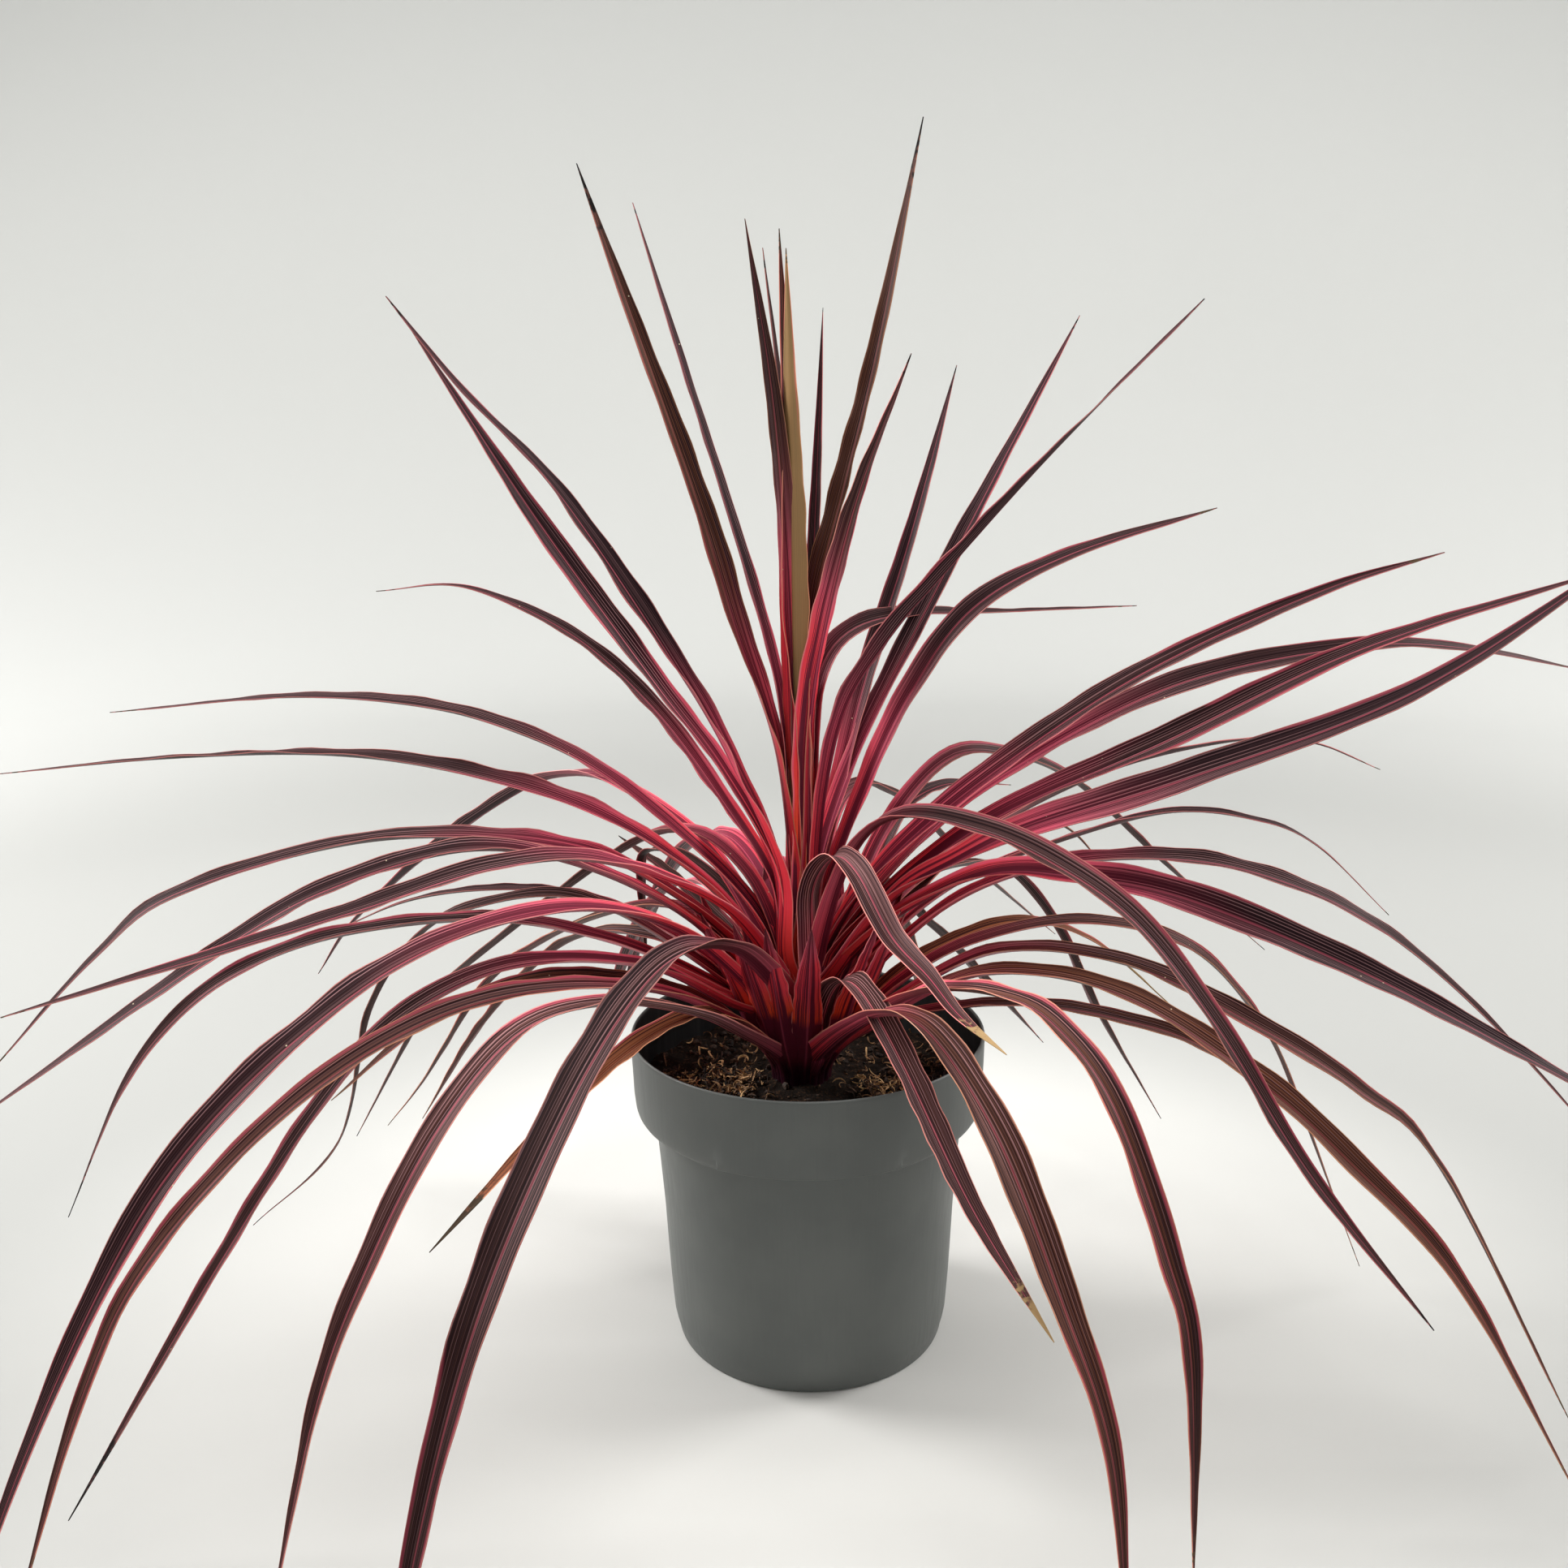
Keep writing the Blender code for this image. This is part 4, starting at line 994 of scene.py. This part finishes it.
def drain_cutter():
    """Short rods in a ring, to cut the drain holes with."""
    rods = []
    for number in range(DRAIN_HOLES):
        angle = 2 * math.pi * (number + 0.5) / DRAIN_HOLES
        place = (DRAIN_CIRCLE * math.cos(angle), DRAIN_CIRCLE * math.sin(angle), POT_FLOOR / 2)
        deselect_all()
        bpy.ops.mesh.primitive_cylinder_add(
            vertices=24, radius=DRAIN_RADIUS, depth=4 * POT_FLOOR, location=place
        )
        rods.append(bpy.context.object)
    rods = join(rods, "drain_cutter")
    settle(rods)
    return rods


def blacken_inside(pot, settings):
    """Gives the inner wall, its ledge and the floor the second finish."""
    inner_edge = settings.rim_radius - INNER_DEPTH
    for face in pot.data.polygons:
        x, y, z = face.center
        reach = math.hypot(x, y)
        faces_in = face.normal.x * x + face.normal.y * y < -0.01 * reach
        faces_up = face.normal.z > 0.5 and z < LEDGE_TOP
        if (faces_in and reach < inner_edge and z > POT_FLOOR) or faces_up:
            face.material_index = 1


class CORDYLINE_OT_pot(bpy.types.Operator):
    """Models the round grey pot with its deep band, the tab at its front and its drain holes"""

    bl_idname = "cordyline.pot"
    bl_label = "Pot"

    def execute(self, context):
        settings = context.scene.cordyline_pot
        pot = raise_rings("nursery_pot", pot_profile(settings, front=False), settings.steps)
        shape_tab(pot, settings)
        cutter = drain_cutter()
        holes = pot.modifiers.new("drain_holes", "BOOLEAN")
        holes.operation = "DIFFERENCE"
        holes.solver = "EXACT"
        holes.object = cutter
        apply_modifiers(pot)
        remove(cutter)
        dress(pot, pot_outside_finish(), pot_inside_finish())
        blacken_inside(pot, settings)
        shade(pot, 32)
        hand_over(pot, "pot")
        return {"FINISHED"}


# Soil


def soil_height(x, y, relief):
    """Height of the compost's surface: low waves with crumbs on them."""
    waves = WAVE_HEIGHT * math.sin(70 * x + 2) * math.cos(55 * y) + WAVE_HEIGHT * math.sin(130 * y + 90 * x)
    crumbs = relief / 2 * noise.fractal(Vector((x, y, 0.3)) * 70, 0.7, 2.1, 4)
    mound = MOUND_HEIGHT * math.exp(-(x * x + y * y) / (2 * MOUND_SPREAD**2))
    return SOIL_HIGH.z - SURFACE_DROP + waves + crumbs + mound


def raise_soil(settings):
    """A closed body: a crumbly top, with plain sides and bottom hidden in the pot."""
    radius = SOIL_HIGH.x
    steps = round(2 * radius / settings.grain)
    deselect_all()
    bpy.ops.mesh.primitive_grid_add(x_subdivisions=steps, y_subdivisions=steps, size=2)
    soil = bpy.context.object
    points = points_of(soil)
    x, y = points[:, 0].copy(), points[:, 1].copy()
    points[:, 0] = radius * x * np.sqrt(1 - y * y / 2)
    points[:, 1] = radius * y * np.sqrt(1 - x * x / 2)
    points[:, 2] = [soil_height(px, py, settings.relief) for px, py in points[:, :2]]
    move_points(soil, points)
    bpy.ops.object.mode_set(mode="EDIT")
    bpy.ops.mesh.select_mode(type="EDGE")
    select_open_edge()
    extrude_rings(radius, SOIL_HIGH.z, HIDDEN_SOIL, upright=0)
    bpy.ops.mesh.edge_face_add()
    bpy.ops.mesh.select_all(action="SELECT")
    bpy.ops.mesh.normals_make_consistent(inside=False)
    bpy.ops.object.mode_set(mode="OBJECT")
    soil.name = "compost"
    return soil


def fibre_template():
    """A flat strip, -1 to 1 along X and across Y."""
    deselect_all()
    bpy.ops.mesh.primitive_grid_add(x_subdivisions=8, y_subdivisions=1, size=2)
    return bpy.context.object


def drift_place(rng):
    """A place on the compost, mostly in the drifts where the bark has gathered."""
    while True:
        middle_x, middle_y, spread = DRIFTS[rng.choice(len(DRIFTS), p=DRIFT_SHARES)]
        x, y = rng.normal((middle_x, middle_y), spread)
        if STEM_CLEARANCE < math.hypot(x, y) < SOIL_HIGH.x - FIBRE_EDGE_CLEARANCE:
            return x, y


def bend_fibre(fibre, rng, settings):
    """Curls one strip, and lays it on the compost."""
    flat = points_of(fibre)
    share, side = flat[:, 0] / 2, flat[:, 1]
    fibre_length = rng.uniform(*FIBRE_LENGTHS)
    width = rng.uniform(*FIBRE_HALF_WIDTHS) * (1 - 0.7 * np.abs(2 * share) ** 3)
    curl = rng.choice((-1, 1)) * rng.uniform(0.3, 3.6)
    sway = rng.uniform(-1.2, 1.2)
    twist = rng.uniform(-1.5, 1.5) * share
    x = fibre_length * np.sin(share * curl) / curl
    y = fibre_length * sway * share**2 + side * width * np.cos(twist)
    z = fibre_length * (1 - np.cos(share * curl)) / curl + side * width * np.sin(twist)
    lean = Matrix.Rotation(rng.uniform(0, 2 * math.pi), 3, "Z") @ Matrix.Rotation(rng.normal(0, 0.4), 3, "Y")
    lean = lean @ Matrix.Rotation(rng.normal(0, 0.9), 3, "X")
    points = np.stack([x, y, z], axis=1) @ np.array(lean).T
    px, py = drift_place(rng)
    ground = soil_height(px, py, settings.relief)
    points += (px, py, ground + rng.uniform(*FIBRE_LIFTS) - 0.4 * points[:, 2].min())
    move_points(fibre, points)
    set_attribute(fibre, "tone", rng.beta(0.75, 0.9))


def crumb_template():
    """A ball of few faces, to be squashed into a crumb."""
    deselect_all()
    bpy.ops.mesh.primitive_ico_sphere_add(subdivisions=2, radius=1)
    return bpy.context.object


def place_crumb(crumb, rng, settings):
    """A lump of peat or bark, squashed and roughened in its own way."""
    points = points_of(crumb)
    points *= rng.uniform(0.72, 1.2, (len(points), 1))
    size = rng.uniform(*CRUMB_SIZES)
    points *= size * np.array([1, rng.uniform(0.5, 1), rng.uniform(0.35, 0.8)])
    turn = Matrix.Rotation(rng.uniform(0, 2 * math.pi), 3, "Z") @ Matrix.Rotation(rng.normal(0, 0.5), 3, "X")
    reach = (SOIL_HIGH.x - CRUMB_EDGE_CLEARANCE) * math.sqrt(rng.uniform(0.03, 1))
    angle = rng.uniform(0, 2 * math.pi)
    px, py = reach * math.cos(angle), reach * math.sin(angle)
    points = points @ np.array(turn).T + (px, py, soil_height(px, py, settings.relief) + 0.2 * size)
    move_points(crumb, points)
    set_attribute(crumb, "tone", rng.uniform(0, 0.5) ** 1.5)


class CORDYLINE_OT_compost(bpy.types.Operator):
    """Models the dark compost in the pot"""

    bl_idname = "cordyline.compost"
    bl_label = "Compost"

    def execute(self, context):
        settings = context.scene.cordyline_soil
        soil = raise_soil(settings)
        dress(soil, compost_finish())
        shade(soil, 60)
        hand_over(soil, "soil")
        return {"FINISHED"}


class CORDYLINE_OT_bark(bpy.types.Operator):
    """Scatters curled bark fibres and crumbs on the compost"""

    bl_idname = "cordyline.bark"
    bl_label = "Bark fibres"

    def execute(self, context):
        settings = context.scene.cordyline_soil
        rng = np.random.default_rng(BARK_SEED)
        fibres = join(many(fibre_template(), settings.fibres, bend_fibre, rng, settings), "bark_fibres")
        thicken(fibres, FIBRE_THICKNESS)
        crumbs = many(crumb_template(), settings.crumbs, place_crumb, rng, settings)
        bark = join([fibres, *crumbs], "bark_fibres")
        dress(bark, bark_finish())
        shade(bark, 50)
        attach(bark, BODY)
        return {"FINISHED"}


class CORDYLINE_OT_stem(bpy.types.Operator):
    """Gives the short stem between the leaf bases its corky finish"""

    bl_idname = "cordyline.stem"
    bl_label = "Stem"

    def execute(self, context):
        dress(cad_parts["stem"], stem_finish())
        return {"FINISHED"}


# Leaves


def blade_template(settings):
    """A flat strip, -1 to 1 across X and along Y, whose map runs across and along the blade."""
    deselect_all()
    bpy.ops.mesh.primitive_grid_add(
        x_subdivisions=settings.faces_across, y_subdivisions=settings.faces_along, size=2, calc_uvs=True
    )
    blade = bpy.context.object
    blade.data.uv_layers[0].name = "blade"
    return blade


def leaf_midrib(row, feet, roots, count):
    """Points along the leaf's midrib, in metres, the level direction across it, and its foot's share."""
    _, heading, _, _, _, drift, *stations = row
    heading = math.radians(heading)
    outward = np.array([math.cos(heading), math.sin(heading), 0])
    across = np.array([-math.sin(heading), math.cos(heading), 0])
    stations = np.array([*feet, *roots, *stations], dtype=float)
    share_out = stations[:, 0] / stations[:, 0].max()
    places = outward * stations[:, :1] + across * (drift * share_out**2)[:, None]
    places[:, 2] = stations[:, 1]
    midrib, root_share = smooth_path(places * CM, count, len(feet))
    return midrib + np.array(PLANT_CENTRE), across, root_share


def wander(rng, share, waves, strength):
    """A slow random wave along the blade, nought at its foot."""
    total = sum(
        rng.uniform(0.4, 1) * np.sin(2 * math.pi * (number * share + rng.uniform(0, 1)))
        for number in rng.uniform(*waves, 3)
    )
    return strength * total / 1.5 * np.clip((share - STILL_SHARE) / 0.2, 0, 1)


def shape_blade(blade, row, feet, roots, added_age, rng):
    """Folds the flat strip along its midrib and lays it along the leaf's arch."""
    look, _, middle_roll, tip_roll, width, _, *_ = row
    flat = points_of(blade)
    rows = len(np.unique(flat[:, 1].round(5)))
    midrib, across, root_share = leaf_midrib(row, feet, roots, rows)
    along = np.linspace(0, 1, rows)
    share = np.clip((along - root_share) / (1 - root_share), 0, 1)
    footing = np.clip(1 - along / root_share, 0, 1)
    tangents = np.gradient(midrib, axis=0)
    tangents /= np.linalg.norm(tangents, axis=1)[:, None]
    levels = across - tangents * (tangents @ across)[:, None]
    levels /= np.linalg.norm(levels, axis=1)[:, None]
    faces = np.cross(tangents, levels)
    rolls = np.radians(np.interp(share, (0, STILL_SHARE, 0.5, 1), (0, 0, middle_roll, tip_roll)))
    rolls += wander(rng, share, (0.8, 2.6), ROLL_WANDER)
    folds = np.radians(curve_through(FOLD_ANGLES, share)) + wander(rng, share, (1, 3), FOLD_WANDER)
    folds += (FOOT_FOLD - folds) * footing
    widths = width * curve_through(WIDTH_SHARES, share) * (1 + wander(rng, share, (3, 9), WIDTH_WANDER))
    widths += (width * FOOT_WIDTH - widths) * footing
    halves = 0.5 * CM * widths
    ripples = [wander(rng, share, (6, 16), MARGIN_RIPPLE) for _ in range(2)]

    step = np.rint((flat[:, 1] + 1) / 2 * (rows - 1)).astype(int)
    side = flat[:, 0]
    from_midrib = np.abs(side)
    rounding = np.interp(share, (0, 0.15), (FOOT_ROUNDING, MIDRIB_ROUNDING))[step]
    rounded = (np.sqrt(side**2 + rounding**2) - rounding) / (1 - 0.8 * rounding)
    ripple = np.where(side < 0, ripples[0][step], ripples[1][step])
    ripple *= np.clip((from_midrib - 0.4) / 0.6, 0, 1) ** 2
    fold, roll = folds[step], rolls[step]
    sideways = side * np.cos(fold)
    lift = rounded * np.sin(fold) + ripple
    offset = levels[step] * (sideways * np.cos(roll) - lift * np.sin(roll))[:, None]
    offset += faces[step] * (sideways * np.sin(roll) + lift * np.cos(roll))[:, None]
    move_points(blade, midrib[step] + halves[step][:, None] * offset)
    age, *rest = LOOKS[look]
    values = (rng.uniform(0, 1), age + added_age, *rest)
    for name, value in zip(LEAF_ATTRIBUTES, values):
        set_attribute(blade, name, value)


def sleeve(node, bottom, top, bottom_radius, top_radius):
    """The collar that the bases of a tier's leaves make round the stem, striped as leaf bases are."""
    low_radius = bottom_radius - SLEEVE_INSET
    high_radius = top_radius - SLEEVE_INSET
    profile = (
        (low_radius - 0.3, bottom),
        (low_radius, bottom + 0.3),
        (low_radius, (bottom + top) / 2),
        (high_radius, top),
        (max(high_radius - 0.6, 0.1), top + 0.8),
    )
    rings = [(radius * CM, height * CM) for radius, height in profile]
    collar = raise_rings(node + "_sleeve", rings, SLEEVE_STEPS)
    collar.data.transform(Matrix.Translation(PLANT_CENTRE))
    layer = collar.data.uv_layers.active or collar.data.uv_layers.new()
    layer.name = "blade"
    for loop in collar.data.loops:
        point = collar.data.vertices[loop.vertex_index].co - PLANT_CENTRE
        turn = (math.atan2(point.y, point.x) / (2 * math.pi)) % 1
        layer.data[loop.index].uv = (0.5 + 0.4 * math.sin(turn * 2 * SLEEVE_STRIPES * math.pi), 0.05)
    for name, value in zip(LEAF_ATTRIBUTES, (0.5, 0, 0, 0, 0, 1)):
        set_attribute(collar, name, value)
    return collar


def base_rows(rng):
    """Rows for the short young leaves, spaced round the crown."""
    for number in range(BASES):
        heading = (number + rng.uniform(-0.3, 0.3)) * 360 / BASES + 90
        roll = rng.uniform(-12, 12)
        yield ("base", heading, roll, roll, BASE_WIDTH * rng.uniform(0.85, 1.1), 0, *BASE_STATIONS)


class CORDYLINE_OT_leaf_tier(bpy.types.Operator):
    """Models one tier of leaves, from the strip of one blade"""

    bl_idname = "cordyline.leaf_tier"
    bl_label = "Leaf tier"

    tier: StringProperty(name="Tier", description="Which tier of leaves", default="middle_leaves")

    def execute(self, context):
        if self.tier not in LEAVES:
            raise ValueError(f"there is no tier {self.tier!r}")
        settings = context.scene.cordyline_leaves
        rng = np.random.default_rng(list(LEAVES).index(self.tier) + FIRST_LEAF_SEED)
        template = blade_template(settings)
        blades = []
        rows = list(LEAVES[self.tier])
        if self.tier == "outer_leaves":
            rows += base_rows(rng)
        for row in rows:
            blade = copy_of(template)
            shape_blade(blade, row, FEET[self.tier], ROOTS[self.tier], TIER_AGES[self.tier], rng)
            blades.append(blade)
        remove(template)
        leaves = join(blades, self.tier.replace("_leaves", "_blades"))
        top, underside = leaf_finish("leaf_top"), leaf_finish("leaf_underside", underside=True)
        dress(leaves, top, underside)
        thicken(leaves, settings.thickness, material_offset=1)
        collar = sleeve(self.tier, *SLEEVES[self.tier])
        dress(collar, top, underside)
        leaves = join([leaves, collar], leaves.name)
        shade(leaves, 50)
        hand_over(leaves, self.tier)
        return {"FINISHED"}


# Stage


def camera_turn():
    """The camera's own axes as columns: right, up and back."""
    forward = Vector(
        (
            math.sin(CAMERA_TURN) * math.cos(CAMERA_DOWN),
            math.cos(CAMERA_TURN) * math.cos(CAMERA_DOWN),
            -math.sin(CAMERA_DOWN),
        )
    )
    level = forward.cross(Vector((0, 0, 1))).normalized()
    upright = level.cross(forward)
    right = level * math.cos(CAMERA_TILT) + upright * math.sin(CAMERA_TILT)
    up = upright * math.cos(CAMERA_TILT) - level * math.sin(CAMERA_TILT)
    return Matrix((right, up, -forward)).transposed()


def add_camera():
    lens = bpy.data.cameras.new("photo_camera")
    lens.sensor_width = CAMERA_SENSOR
    lens.lens = CAMERA_LENS
    lens.clip_start = 0.02
    camera = bpy.data.objects.new("photo_camera", lens)
    camera.matrix_world = Matrix.Translation(CAMERA_PLACE) @ camera_turn().to_4x4()
    bpy.context.scene.collection.objects.link(camera)
    bpy.context.scene.camera = camera


def add_soft_light(name, place, target, size, power, tint):
    light = bpy.data.lights.new(name, "AREA")
    light.shape = "DISK"
    light.size = size
    light.energy = power
    light.color = tint
    lamp = bpy.data.objects.new(name, light)
    lamp.visible_camera = False
    lamp.location = place
    lamp.rotation_euler = (Vector(target) - Vector(place)).to_track_quat("-Z", "Y").to_euler()
    bpy.context.scene.collection.objects.link(lamp)


def add_floor(settings):
    """A round floor that curves up into a low wall all round."""
    deselect_all()
    bpy.ops.mesh.primitive_circle_add(vertices=FLOOR_STEPS, radius=settings.radius, fill_type="NGON")
    floor = bpy.context.object
    bpy.ops.object.mode_set(mode="EDIT")
    bpy.ops.mesh.select_all(action="SELECT")
    bpy.ops.mesh.inset(thickness=0.05)
    select_open_edge()
    curve = [
        (settings.radius + WALL_TURN * math.sin(angle), WALL_TURN * (1 - math.cos(angle)))
        for angle in np.linspace(0, math.pi / 2, 13)[1:]
    ]
    extrude_rings(settings.radius, 0, [*curve, (settings.radius + WALL_TURN, settings.wall)])
    bpy.ops.object.mode_set(mode="OBJECT")
    floor.name = "studio_floor"
    dress(floor, paint_finish())
    shade(floor, 40)


def add_sky(settings):
    world = bpy.data.worlds.new("studio_sky")
    world.use_nodes = True
    background = world.node_tree.nodes["Background"]
    background.inputs["Color"].default_value = settings.sky[:]
    background.inputs["Strength"].default_value = settings.sky_strength
    bpy.context.scene.world = world


class CORDYLINE_OT_stage(bpy.types.Operator):
    """Adds the camera, the pale studio and its soft lights"""

    bl_idname = "cordyline.stage"
    bl_label = "Stage"

    def execute(self, context):
        settings = context.scene.cordyline_stage
        add_camera()
        add_floor(settings)
        add_sky(settings)
        for name, (place, target, size, setting, share, tint) in LIGHTS.items():
            add_soft_light(name, place, target, size, getattr(settings, setting) * share, tint)
        context.scene.view_settings.view_transform = "Standard"
        return {"FINISHED"}


class CORDYLINE_PT_panel(bpy.types.Panel):
    """Lists the steps and settings of the plant in the sidebar"""

    bl_idname = "CORDYLINE_PT_panel"
    bl_label = "Potted Cordyline"
    bl_space_type = "VIEW_3D"
    bl_region_type = "UI"
    bl_category = "Cordyline"

    def draw(self, context):
        groups = (
            (context.scene.cordyline_stage, CORDYLINE_OT_stage),
            (context.scene.cordyline_pot, CORDYLINE_OT_pot),
            (context.scene.cordyline_soil, CORDYLINE_OT_compost),
            (context.scene.cordyline_leaves, None),
        )
        for settings, operator in groups:
            box = self.layout.box()
            for key in settings.bl_rna.properties.keys():
                if key not in ("rna_type", "name"):
                    box.prop(settings, key)
            if operator:
                box.operator(operator.bl_idname)
        self.layout.operator(CORDYLINE_OT_bark.bl_idname)
        self.layout.operator(CORDYLINE_OT_stem.bl_idname)
        for tier in LEAVES:
            self.layout.operator(CORDYLINE_OT_leaf_tier.bl_idname, text=tier).tier = tier


CLASSES = (
    CordylinePotSettings,
    CordylineSoilSettings,
    CordylineLeafSettings,
    CordylineStageSettings,
    CORDYLINE_OT_pot,
    CORDYLINE_OT_compost,
    CORDYLINE_OT_bark,
    CORDYLINE_OT_stem,
    CORDYLINE_OT_leaf_tier,
    CORDYLINE_OT_stage,
    CORDYLINE_PT_panel,
)
SETTINGS = {
    "cordyline_pot": CordylinePotSettings,
    "cordyline_soil": CordylineSoilSettings,
    "cordyline_leaves": CordylineLeafSettings,
    "cordyline_stage": CordylineStageSettings,
}


def register():
    for item in CLASSES:
        bpy.utils.register_class(item)
    for key, group in SETTINGS.items():
        setattr(bpy.types.Scene, key, PointerProperty(type=group))


def unregister():
    for key in SETTINGS:
        delattr(bpy.types.Scene, key)
    for item in reversed(CLASSES):
        bpy.utils.unregister_class(item)


def main():
    register()
    bpy.ops.cordyline.stage()
    bpy.ops.cordyline.pot()
    bpy.ops.cordyline.compost()
    bpy.ops.cordyline.bark()
    bpy.ops.cordyline.stem()
    for tier in LEAVES:
        bpy.ops.cordyline.leaf_tier(tier=tier)


if __name__ == "__main__":
    main()
